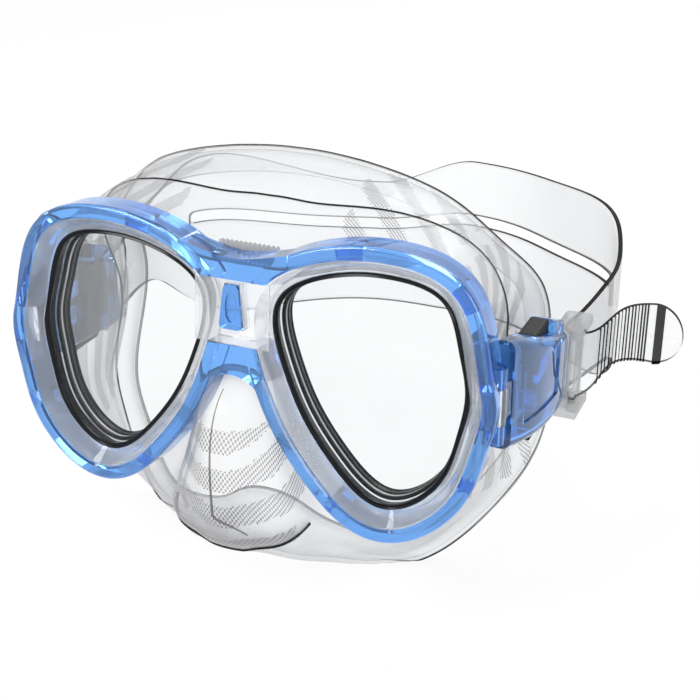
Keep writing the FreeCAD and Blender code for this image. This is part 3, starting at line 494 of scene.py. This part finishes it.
def band_marks(points):
    """Where the matt bands lie: slanting ones on the nose pocket, curved ones at the temples."""
    def striped(place_across, bands):
        return np.mod(place_across, bands[0]) < bands[1]

    x, y, z = np.abs(points[..., 0]), points[..., 1], points[..., 2]
    nose = (x < 21) & (z < -14) & (z > -57) & (y < 14) & striped(z - 0.45 * y, NOSE_BANDS)
    bend = y - 0.25 * z - 0.006 * z * z
    temple = (x > 56) & (y > 10) & (y < 47) & (z < 34) & (z > -44) & striped(bend, TEMPLE_BANDS)
    brow = (x > 26) & (x <= 60) & (z > 30) & (y > 12) & (y < 40) & striped(x + y, BROW_BANDS)
    return (nose | temple | brow).astype(float)


# Shares down the wall run from 0 at the lenses to 1 at the lip. Shares round the skirt run from 0 at
# the forehead to 1 at the nose's ridge.
GROOVE_TOP, GROOVE_SIDE = 0.42, 0.58      # where the groove lies down the wall, at the top and the temple
GROOVE_SINKS, GROOVE_ENDS = (0.12, 0.42), (0.52, 0.62)    # over which shares it does so round the skirt
GROOVE_WIDTH, GROOVE_DEPTH = 0.013, 0.6
LOBE_RISES = (0.865, 0.90)    # over which share the nose's thick lobe comes up
LOBE_START, LOBE_SPAN = 0.875, 0.105      # where it starts to widen, and how soon it is full
LOBE_PLACE, LOBE_WIDTH = (0.43, 0.58), (0.012, 0.062)     # at its start and where it is full
LOBE_HEIGHT = 1.5
# The beads are dark lines of painted shade along the skirt's turns
BEAD = 0.32                   # radius of the thin dark beads
THIN = 0.97                   # how much thinner a closed bead is where it fades
SEAL_BEAD_FADES, GROOVE_BEAD_FADES = (0.80, 0.86), (0.45, 0.58)
BEAD_ON_NOSE, BEAD_DROPS = 0.83, (0.64, 0.72)     # where the seal's bead lies on the nose, from where on
LOBE_BEAD, LOBE_BEAD_START = 0.5, 0.872
CREASE_ROW, CREASE_POINTS, HOOK_POINTS = 211, 30, 8
CREASE_SHARES, HOOK_SHARES = (0.12, 0.50), (0.51, 0.54)   # from where to where they run down the wall
CREASE_RADII, HOOK_RADII = (0.12, 0.4), (0.4, 0.2)


def skirt():
    inner = skirt_surface()
    normal = grid_normals(inner)
    down = np.linspace(0, 1, DOWN)
    wall = WALL + (LIP_WALL - WALL) * down
    round_share = np.arange(AROUND) / AROUND
    half = np.minimum(round_share, 1 - round_share) * 2
    # A groove runs parallel to the rim, all round but for the nose
    place_down = GROOVE_TOP + (GROOVE_SIDE - GROOVE_TOP) * smooth_step(half, *GROOVE_SINKS)
    groove = np.exp(-((down[None, :] - place_down[:, None]) / GROOVE_WIDTH) ** 2)
    groove *= (1 - smooth_step(half, *GROOVE_ENDS))[:, None]
    # The wall is thicker at the nose pocket's bottom lobe
    in_nose = np.clip((half - LOBE_START) / LOBE_SPAN, 0, 1)
    lobe_middle = LOBE_PLACE[0] + (LOBE_PLACE[1] - LOBE_PLACE[0]) * in_nose
    lobe_half = LOBE_WIDTH[0] + (LOBE_WIDTH[1] - LOBE_WIDTH[0]) * in_nose
    lobe = np.exp(-((down[None, :] - lobe_middle[:, None]) / lobe_half[:, None]) ** 2)
    lobe *= smooth_step(half, *LOBE_RISES)[:, None]
    outer = inner + normal * (wall[None, :] - groove * GROOVE_DEPTH + lobe * LOBE_HEIGHT)[:, :, None]
    skirt_wall(inner, outer, lobe)

    # Thin dark beads of painted shade: the turn of the face seal, the groove, the lobe's lower edge and the
    # nose's crease
    def along(share, rows):
        place_on = np.clip(share, 0, 1) * (DOWN - 1)
        k = np.minimum(place_on.astype(int), DOWN - 2)
        t = (place_on - k)[:, None]
        return outer[rows, k] * (1 - t) + outer[rows, k + 1] * t, normal[rows, k]

    every = np.arange(AROUND)
    low = smooth_step(half, *BEAD_DROPS)
    path, facing = along(seal_turn() * (1 - low) + BEAD_ON_NOSE * low, every)
    radius = BEAD * (1 - THIN * smooth_step(half, *SEAL_BEAD_FADES))
    bead(path, facing, "skirt_bead", radius, SKIRT_SHADE_LINE, True)
    path, facing = along(place_down, every)
    radius = BEAD * (1 - THIN * smooth_step(half, *GROOVE_BEAD_FADES))
    bead(path, facing, "skirt_groove_line", radius, SKIRT_SHADE_LINE, True)
    rows = every[half > LOBE_BEAD_START]
    path, facing = along((lobe_middle + lobe_half * 1.1)[rows], rows)
    bead(path, facing, "nose_lobe_line", LOBE_BEAD * np.ones(len(rows)), SKIRT_SHADE_LINE, False)
    # The crease runs down the nose's ridge and hooks to one side above the lobe; its dark bead is painted
    # shade
    def crease(of_crease, of_hook):
        return np.append(np.linspace(*of_crease, CREASE_POINTS), np.linspace(*of_hook, HOOK_POINTS))

    rows = np.append(np.full(CREASE_POINTS, CREASE_ROW), CREASE_ROW - 1 - np.arange(HOOK_POINTS))
    path, facing = along(crease(CREASE_SHARES, HOOK_SHARES), rows)
    radius = crease(CREASE_RADII, HOOK_RADII)
    bead(path, facing, "nose_crease", radius, SKIRT_EDGE_SHADE, False)

    for side in ("left", "right"):
        flange = ring_sweep("skirt_flange_" + side, FLANGE_OUTLINE, SKIRT, side)
        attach(flange, "mask")


def seal_turn():
    """How far down the wall the face seal turns inward, for each place round the skirt."""
    rows = skirt_rows()
    spans = np.linalg.norm(np.diff(rows, axis=1), axis=2)
    turn = spans[:, :4].sum(1) / spans.sum(1)
    steps = np.linalg.norm(np.roll(rows[:, 3], -1, axis=0) - rows[:, 3], axis=1)
    where = np.concatenate([[0], np.cumsum(steps)])
    return np.interp(np.linspace(0, where[-1], AROUND, endpoint=False), where, np.append(turn, turn[0]))


def skirt_wall(inner, outer, lobe):
    """The wall between its two faces, with its bands, its lobe and its unrolled sizes marked."""
    ring = np.concatenate([outer, inner[:, ::-1]], 1)
    ring[..., 2] = np.maximum(ring[..., 2], REST_LEVEL)
    columns = ring.shape[1]
    faces = grid_faces(AROUND, columns, True, True)
    piece = mesh_piece("skirt_wall", ring.reshape(-1, 3), faces, [SKIRT, SKIRT_EDGE_SHADE])
    for name, marks in (("matt", band_marks(outer)), ("lobe", lobe)):
        layer = piece.data.attributes.new(name, "FLOAT", "POINT")
        layer.data.foreach_set("value", np.concatenate([marks, np.zeros_like(marks)], 1).reshape(-1))
    lengths = np.linalg.norm(np.diff(outer, axis=1), axis=2).mean(0)
    lengths = np.concatenate([[0], np.cumsum(lengths)])
    belt = outer[:, DOWN // 2]
    girth = np.linalg.norm(np.roll(belt, -1, axis=0) - belt, axis=1).sum()
    uv = piece.data.uv_layers.new(name="unrolled")
    edge_columns = {DOWN - 1, 2 * DOWN - 1}
    values = np.zeros((len(piece.data.loops), 2))
    for polygon in piece.data.polygons:
        first = min(polygon.vertices)
        # The lip and plate edges take the dark edge material, which is painted shade
        if polygon.vertices[0] % columns in edge_columns:
            polygon.material_index = 1
        for loop in polygon.loop_indices:
            row, column = divmod(piece.data.loops[loop].vertex_index, columns)
            if first < columns and row == AROUND - 1:
                row = -1
            step = column if column < DOWN else 2 * DOWN - 1 - column
            values[loop] = (row / AROUND * girth, lengths[step])
    uv.data.foreach_set("uv", values.reshape(-1))
    piece = finished(piece)
    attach(piece, "mask")
    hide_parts("skirt")


BEAD_SIDES = 8


def bead(path, facing, name, radius, material, closed):
    """A round bead, half sunk in the surface that it follows."""
    along = np.roll(path, -1, axis=0) - np.roll(path, 1, axis=0)
    if not closed:
        along = np.gradient(path, axis=0)
    along /= np.linalg.norm(along, axis=1)[:, None]
    across = np.cross(along, facing)
    across /= np.linalg.norm(across, axis=1)[:, None]
    turns = np.linspace(0, 2 * math.pi, BEAD_SIDES, endpoint=False)
    reach = np.reshape(radius, (-1, 1))
    points = np.stack([path + reach * (math.cos(t) * facing + math.sin(t) * across) for t in turns], 1)
    points[..., 2] = np.maximum(points[..., 2], REST_LEVEL)
    faces = grid_faces(len(path), BEAD_SIDES, closed, True)
    if not closed:
        first, last = range(BEAD_SIDES), range((len(path) - 1) * BEAD_SIDES, len(path) * BEAD_SIDES)
        faces += [tuple(first), tuple(last)]
    piece = finished(mesh_piece(name, points.reshape(-1, 3), faces, [material]))
    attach(piece, "mask")


# Strap

STRAP_THICKNESS = 2.0
ROLLER = np.array([86.0, 61.0])           # x and y of the left roller
WRAP_RADIUS = 3.5             # of the strap's middle line round the roller
WRAP_END = -60.0              # how far short of a half turn the strap leaves it, in degrees
STRAP_PLAN = [(0.0, 172.0), (26.0, 170.0), (42.0, 162.5), (57.0, 150.0), (74.0, 132.5),
              (85.0, 117.0), (89.0, 102.0), (87.5, 84.0), (84.2, 70.0)]       # x, y from the back
TAIL_PLAN = [(95.0, 61.6), (104.0, 64.6), (118.0, 65.2)]
# Edges of the band by y and of the tail by x
BAND_TOP = [(56.0, 1.5), (69.0, 1.9), (90.0, 6.5), (106.0, 10.0), (116.0, 16.0), (128.0, 19.5),
            (140.0, 19.0), (156.0, 16.5), (176.0, 14.5)]
BAND_BOTTOM = [(56.0, -21.5), (70.0, -21.5), (85.0, -22.0), (100.0, -25.0), (114.0, -36.0),
               (128.0, -46.0), (150.0, -49.0), (176.0, -50.0)]
SLIT_TOP, SLIT_BOTTOM, SLIT_START = -7.0, -11.6, 121.0
TAIL_TOP = [(86.0, 1.5), (91.0, 1.6), (99.0, 9.0), (109.0, 11.8)]
TAIL_BOTTOM = [(86.0, -21.5), (91.0, -18.5), (97.5, -9.2), (109.0, -7.6)]
TIP_START, TIP_X, TIP_Z = 109.0, 118.0, 1.6       # where the tip's rounding starts, its end and middle
FAR_SAG = 13.0                # how far the band's top edge hangs lower on the right half
SAG_BACK, SAG_ARM = (16.0, -24.0), (-30.0, -84.0)     # from where to where in x it comes, and goes
SLIT_SAG = 0.5                # and how much of that the slit follows
SLIT_RISE, SLIT_CLIMBS = 4.0, (122.0, 162.0)      # how far the slit climbs toward its end, and where in y
LOWER_SHARE = 0.45            # where the band's two lobes part, as a share of its height
STRAP_ACROSS = 12             # faces across each lobe
RIBS, RIB_START, RIB_END, RIB_HEIGHT = 15, 93.0, 107.5, 0.7
GRIP_START, GRIP_END, GRIP_HEIGHT = 109.5, 112.0, 1.2     # the bar across the tail before its tip
EDGE_ROUND = 0.25             # how far the strap's edges are drawn in
ARM_POINTS, WRAP_POINTS, TAIL_POINTS = 420, 26, 170


def edge_height(outline, value):
    curve = spline(outline, 200)
    return np.interp(value, curve[:, 0], curve[:, 1])


def strap_line():
    """The strap's middle line seen from above, from the back's middle to the tail's tip."""
    inner_turn = (ROLLER[0] - WRAP_RADIUS, ROLLER[1])
    arm = spline([(-26.0, 170.0)] + STRAP_PLAN + [inner_turn, (82.5, 59.5)], ARM_POINTS)
    arm = arm[(arm[:, 0] >= 0) & (arm[:, 1] > ROLLER[1] + 0.2)]
    arm = np.vstack([[0.0, 172.0], arm])
    angles = np.radians(np.linspace(180, 360 + WRAP_END, WRAP_POINTS))
    wrap = ROLLER + WRAP_RADIUS * np.stack([np.cos(angles), np.sin(angles)], 1)
    leaving = wrap[-1] + 1.5 * np.array([-math.sin(angles[-1]), math.cos(angles[-1])])
    tail = spline([wrap[-1], leaving] + TAIL_PLAN, TAIL_POINTS)[1:]
    return arm, wrap, tail


def strap_edges(line, count_arm, count_wrap, side):
    """The strap's top, bottom, the slit's middle and half its gap, all along the line."""
    arm, tail = slice(0, count_arm), slice(count_arm + count_wrap, None)
    wrap = slice(count_arm, count_arm + count_wrap)
    top, bottom = np.zeros(len(line)), np.zeros(len(line))
    top[arm] = edge_height(BAND_TOP, line[arm, 1])
    bottom[arm] = edge_height(BAND_BOTTOM, line[arm, 1])
    # The band hangs lower past its middle, on the right half
    real_x = line[:, 0] if side == "left" else -line[:, 0]
    sag = FAR_SAG * (1 - smooth_step(real_x, SAG_BACK[1], SAG_BACK[0]))
    sag *= 1 - smooth_step(-real_x, -SAG_ARM[0], -SAG_ARM[1])
    sag[count_arm:] = 0
    top -= sag
    top[wrap] = top[count_arm - 1]
    bottom[wrap] = bottom[count_arm - 1]
    top[tail] = edge_height(TAIL_TOP, line[tail, 0])
    bottom[tail] = edge_height(TAIL_BOTTOM, line[tail, 0])
    # The tip is round
    tip = np.clip((line[:, 0] - TIP_START) / (TIP_X - TIP_START), 0, 1)
    tip[:count_arm + count_wrap] = 0
    round_off = np.sqrt(np.clip(1 - tip ** 2, 0.0004, 1))
    top = TIP_Z + (top - TIP_Z) * round_off
    bottom = TIP_Z + (bottom - TIP_Z) * round_off
    # The slit closes in a half round
    middle = (SLIT_TOP + SLIT_BOTTOM) / 2 + SLIT_RISE * (1 - smooth_step(line[:, 1], *SLIT_CLIMBS))
    middle -= sag * SLIT_SAG
    gap = np.zeros(len(line))
    half_gap = (SLIT_TOP - SLIT_BOTTOM) / 2
    back = np.clip((line[arm, 1] - SLIT_START + half_gap) / half_gap, 0, 1)
    gap[arm] = half_gap * np.sqrt(np.clip(1 - (1 - back) ** 2, 0, 1))
    return top, bottom, middle, gap


def strap_thickness(line, tail_start):
    """The strap's thickness along the line, with ribs across the tail's outer side."""
    thickness = np.full(len(line), STRAP_THICKNESS)
    in_tail = np.arange(len(line)) >= tail_start
    phase = (line[:, 0] - RIB_START) / (RIB_END - RIB_START) * RIBS
    ribbed = in_tail & (line[:, 0] > RIB_START) & (line[:, 0] < RIB_END)
    thickness[ribbed] += RIB_HEIGHT * (np.sin(2 * math.pi * phase[ribbed]) > 0)
    grip = in_tail & (line[:, 0] > GRIP_START) & (line[:, 0] < GRIP_END)
    thickness[grip] += GRIP_HEIGHT
    return thickness


def strap_half(side):
    arm, wrap, tail = strap_line()
    line = np.vstack([arm, wrap, tail])
    along = np.gradient(line, axis=0)
    across = np.stack([-along[:, 1], along[:, 0]], 1) / np.linalg.norm(along, axis=1)[:, None]
    top, bottom, middle, gap = strap_edges(line, len(arm), len(wrap), side)
    thickness = strap_thickness(line, len(arm) + len(wrap))
    shares = np.linspace(0, 1, STRAP_ACROSS + 1)
    heights = []
    for k in range(len(line)):
        if gap[k] > 0:
            low = bottom[k] + (middle[k] - gap[k] - bottom[k]) * shares
            high = middle[k] + gap[k] + (top[k] - middle[k] - gap[k]) * shares
        else:
            low = bottom[k] + (top[k] - bottom[k]) * LOWER_SHARE * shares
            high = low[-1] + (top[k] - low[-1]) * shares
        heights.append((low, high))
    points, faces, dark = [], [], []
    width = STRAP_ACROSS + 1

    def corner(k, lobe, j, face):
        return ((k * 2 + lobe) * width + j) * 2 + face

    for k in range(len(line)):
        for lobe in (0, 1):
            for j in range(width):
                inset = 0.0 if 0 < j < width - 1 else EDGE_ROUND
                for face in (0, 1):
                    push = STRAP_THICKNESS / 2 - inset
                    if face == 0:
                        push = -(thickness[k] - STRAP_THICKNESS / 2 - inset)
                    spot = line[k] + across[k] * push
                    points.append((spot[0], spot[1], heights[k][lobe][j]))
    for k in range(len(line) - 1):
        for lobe in (0, 1):
            for j in range(width - 1):
                for face in (0, 1):
                    faces.append((corner(k, lobe, j, face), corner(k, lobe, j + 1, face),
                                  corner(k + 1, lobe, j + 1, face), corner(k + 1, lobe, j, face)))
                    # Rib and grip-bar tops and the edge faces below take the near-black edge material:
                    # painted shade
                    dark.append(1 if face == 0 and thickness[k] > STRAP_THICKNESS else 0)
            for j in (0, width - 1):
                inside = (lobe == 0 and j == width - 1) or (lobe == 1 and j == 0)
                if inside and gap[k] <= 0 and gap[k + 1] <= 0:
                    continue
                faces.append((corner(k, lobe, j, 0), corner(k, lobe, j, 1),
                              corner(k + 1, lobe, j, 1), corner(k + 1, lobe, j, 0)))
                dark.append(1)
    last = len(line) - 1
    for lobe in (0, 1):
        for j in range(width - 1):
            faces.append((corner(last, lobe, j, 0), corner(last, lobe, j + 1, 0),
                          corner(last, lobe, j + 1, 1), corner(last, lobe, j, 1)))
            dark.append(1)
    piece = mesh_piece("strap_" + side, on_side(points, side), faces, [STRAP, STRAP_EDGE_SHADE])
    piece.data.polygons.foreach_set("material_index", dark)
    work = bmesh.new()
    work.from_mesh(piece.data)
    bmesh.ops.remove_doubles(work, verts=work.verts, dist=0.00003)
    work.to_mesh(piece.data)
    work.free()
    piece = finished(piece)
    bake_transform(piece)
    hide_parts("strap")


# Buckle, bridge and the solids that keep their shape

def dress():
    looks = {"front_frame": BLUE, "bridge_plug": BLUE, "buckle_housing": BLUE, "inner_bezel": BEZEL,
             "hinge_pin": CLEAR, "buckle_back_plate": CLEAR, "strap_loop": LOOP, "strap_roller": LOOP,
             "upper_button": BUTTON, "lower_button": BUTTON, "pawl": BUTTON, "pawl_spring": STEEL}
    for name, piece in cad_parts.items():
        look = looks.get(name.replace("_left", "").replace("_right", ""))
        if look is None:
            continue
        piece.data.materials.clear()
        piece.data.materials.append(look)


PLATE_X, PLATE_Y, PLATE_Z, PLATE_CORNER = (75.95, 76.45), (28.3, 45.0), (-13.5, 6.5), 3.0


def latch_plate(side):
    """The dark plate inside the buckle that shows through both its walls."""
    outline = []
    near_y, far_y = PLATE_Y[0] + PLATE_CORNER, PLATE_Y[1] - PLATE_CORNER
    low_z, high_z = PLATE_Z[0] + PLATE_CORNER, PLATE_Z[1] - PLATE_CORNER
    for y, z, start in ((far_y, high_z, 0), (near_y, high_z, 90), (near_y, low_z, 180), (far_y, low_z, 270)):
        for turn in np.radians(np.linspace(start, start + 90, 7)):
            outline.append((y + PLATE_CORNER * math.cos(turn), z + PLATE_CORNER * math.sin(turn)))
    count = len(outline)
    points = on_side([(x, y, z) for x in PLATE_X for y, z in outline], side)
    faces = [(k, (k + 1) % count, count + (k + 1) % count, count + k) for k in range(count)]
    faces += [tuple(range(count)), tuple(range(count, 2 * count))]
    piece = finished(mesh_piece("latch_plate_" + side, points, faces, [BUTTON], smooth=False))
    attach(piece, "buckle_" + side)


LEAF_X, LEAF_Y, LEAF_Z, LEAF_STRIP = (77.2, 82.8), (27.9, 30.4), (-11.5, -6.5), 0.5


def spring_leaf(side):
    """The bowed leaf in front of the pawl, built in its rest shape; the real leaf flattens as the pawl is
    drawn back, which this mesh does not.
    """
    low_x, high_x = LEAF_X
    foot, crown = LEAF_Y
    reach, rise = (high_x - low_x) / 2, crown - foot
    radius = (reach ** 2 + rise ** 2) / (2 * rise)
    centre_x, centre_y = (low_x + high_x) / 2, crown - radius
    turns = np.linspace(-1, 1, 17) * math.asin(reach / radius)
    section = [(centre_x + r * math.sin(turn), max(centre_y + r * math.cos(turn), foot))
               for turn in turns for r in (radius, radius - LEAF_STRIP)]
    count = len(section)
    points = on_side([(x, y, z) for z in LEAF_Z for x, y in section], side)
    faces = []
    for k in range(0, count - 2, 2):
        faces.append((k, k + 2, count + k + 2, count + k))
        faces.append((k + 3, k + 1, count + k + 1, count + k + 3))
        for base in (0, count):
            faces.append((base + k, base + k + 1, base + k + 3, base + k + 2))
    faces += [(0, 1, count + 1, count), (count - 2, count - 1, 2 * count - 1, 2 * count - 2)]
    piece = finished(mesh_piece("spring_leaf_" + side, points, faces, [STEEL], smooth=False))
    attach(piece, "buckle_" + side)
    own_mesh(piece)
    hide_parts("pawl_spring_" + side)


COMB_FINS, COMB_PITCH = 13, 1.5
# A fin's corners seen from the side, from its foot round to its crest: y, z and half its thickness
FIN = [(5.4, 31.0, 0.42), (9.6, 31.4, 0.42), (9.0, 35.2, 0.26), (6.4, 35.6, 0.26)]


def comb():
    """The row of small fins on the skirt behind the frame's bridge."""
    points, faces = [], []
    ring = [(0, 2, 4, 6), (7, 5, 3, 1)]
    ring += [(2 * i, 2 * i + 1, (2 * i + 3) % 8, (2 * i + 2) % 8) for i in range(4)]
    for k in range(COMB_FINS):
        x = (k - (COMB_FINS - 1) / 2) * COMB_PITCH
        base = len(points)
        for y, z, half in FIN:
            points += [(x - half, y, z), (x + half, y, z)]
        faces += [tuple(base + i for i in face) for face in ring]
    piece = bevelled(mesh_piece("bridge_comb", points, faces, [LOOP]), FINE_BEVEL, 2)
    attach(piece, "mask")


# Floor, light and camera

FLOOR_HALF, FLOOR_LEVEL = 6.0, -0.0002            # metres
FLOOR_GREY, FLOOR_GLOW = 0.93, 0.88
WORLD_LIGHT, WORLD_SEEN = 0.55, 1.0
# Name, place, size and power of each lamp, in metres and watts
LAMPS = [("key", (-0.55, -0.75, 0.95), 0.55, 9.0), ("fill", (0.85, -0.55, 0.45), 0.5, 4.0),
         ("back", (0.15, 0.75, 0.85), 0.6, 6.0)]
LAMP_TARGET = (0, 0, 0.07)


def seen_directly(tree):
    """1 where the camera sees a surface, also in a mirror or through glass."""
    ray = tree.nodes.new("ShaderNodeLightPath")
    through = math_node(tree, "MAXIMUM", ray.outputs["Is Glossy Ray"], ray.outputs["Is Transmission Ray"])
    return math_node(tree, "MAXIMUM", ray.outputs["Is Camera Ray"], through)


def studio():
    floor = bpy.data.meshes.new("floor")
    half = FLOOR_HALF
    corners = [(-half, -half, 0), (half, -half, 0), (half, half, 0), (-half, half, 0)]
    floor.from_pydata(corners, [], [(0, 1, 2, 3)])
    ground = bpy.data.objects.new("floor", floor)
    ground.location.z = FLOOR_LEVEL
    bpy.context.scene.collection.objects.link(ground)
    material, tree, bsdf, output = shader("floor_white")
    bsdf.inputs["Base Color"].default_value = (FLOOR_GREY, FLOOR_GREY, FLOOR_GREY, 1)
    bsdf.inputs["Roughness"].default_value = 0.9
    glow = tree.nodes.new("ShaderNodeEmission")
    glow.inputs["Color"].default_value = (1, 1, 1, 1)
    share = math_node(tree, "MULTIPLY", seen_directly(tree), FLOOR_GLOW)
    mixed(tree, share, bsdf.outputs["BSDF"], glow.outputs["Emission"], output)
    floor.materials.append(material)

    world = bpy.data.worlds.new("studio")
    bpy.context.scene.world = world
    world.use_nodes = True
    tree = world.node_tree
    background = tree.nodes["Background"]
    strength = ranged(tree, seen_directly(tree), WORLD_LIGHT, WORLD_SEEN)
    tree.links.new(strength, background.inputs["Strength"])
    background.inputs["Color"].default_value = (1, 1, 1, 1)

    for name, spot, size, power in LAMPS:
        light = bpy.data.lights.new(name, "AREA")
        light.size = size
        light.energy = power
        lamp = bpy.data.objects.new(name, light)
        lamp.location = spot
        lamp.rotation_euler = (Vector(LAMP_TARGET) - Vector(spot)).to_track_quat("-Z", "Y").to_euler()
        bpy.context.scene.collection.objects.link(lamp)


CAMERA_EYE = (172.28, -321.53, 174.92)
AZIMUTH, ELEVATION, ROLL = 23.086, 25.148, 0.06   # degrees
SENSOR, FOCAL_SHARE = 36, 1357.95 / 700           # sensor width in mm, and focal length as a share of it


def camera():
    """The photograph's view, in the design axes."""
    azimuth, elevation, roll = np.radians([AZIMUTH, ELEVATION, ROLL])
    back = Vector((math.sin(azimuth) * math.cos(elevation), -math.cos(azimuth) * math.cos(elevation),
                   math.sin(elevation)))
    right = Vector((math.cos(azimuth), math.sin(azimuth), 0))
    up = back.cross(right)
    turn = Matrix((right, up, back)).transposed() @ Matrix.Rotation(float(roll), 3, "Z")
    data = bpy.data.cameras.new("camera")
    data.sensor_width = SENSOR
    data.lens = FOCAL_SHARE * SENSOR
    data.clip_start = 0.01
    lens = bpy.data.objects.new("camera", data)
    lens.matrix_world = Matrix.Translation(Vector(place([CAMERA_EYE])[0])) @ turn.to_4x4()
    bpy.context.scene.collection.objects.link(lens)
    bpy.context.scene.camera = lens


camera()
studio()
dress()
for eye_side in ("left", "right"):
    eye_pieces(eye_side)
skirt()
comb()
for strap_side in ("left", "right"):
    strap_half(strap_side)
    latch_plate(strap_side)
    spring_leaf(strap_side)

bpy.context.scene.view_settings.view_transform = "Standard"
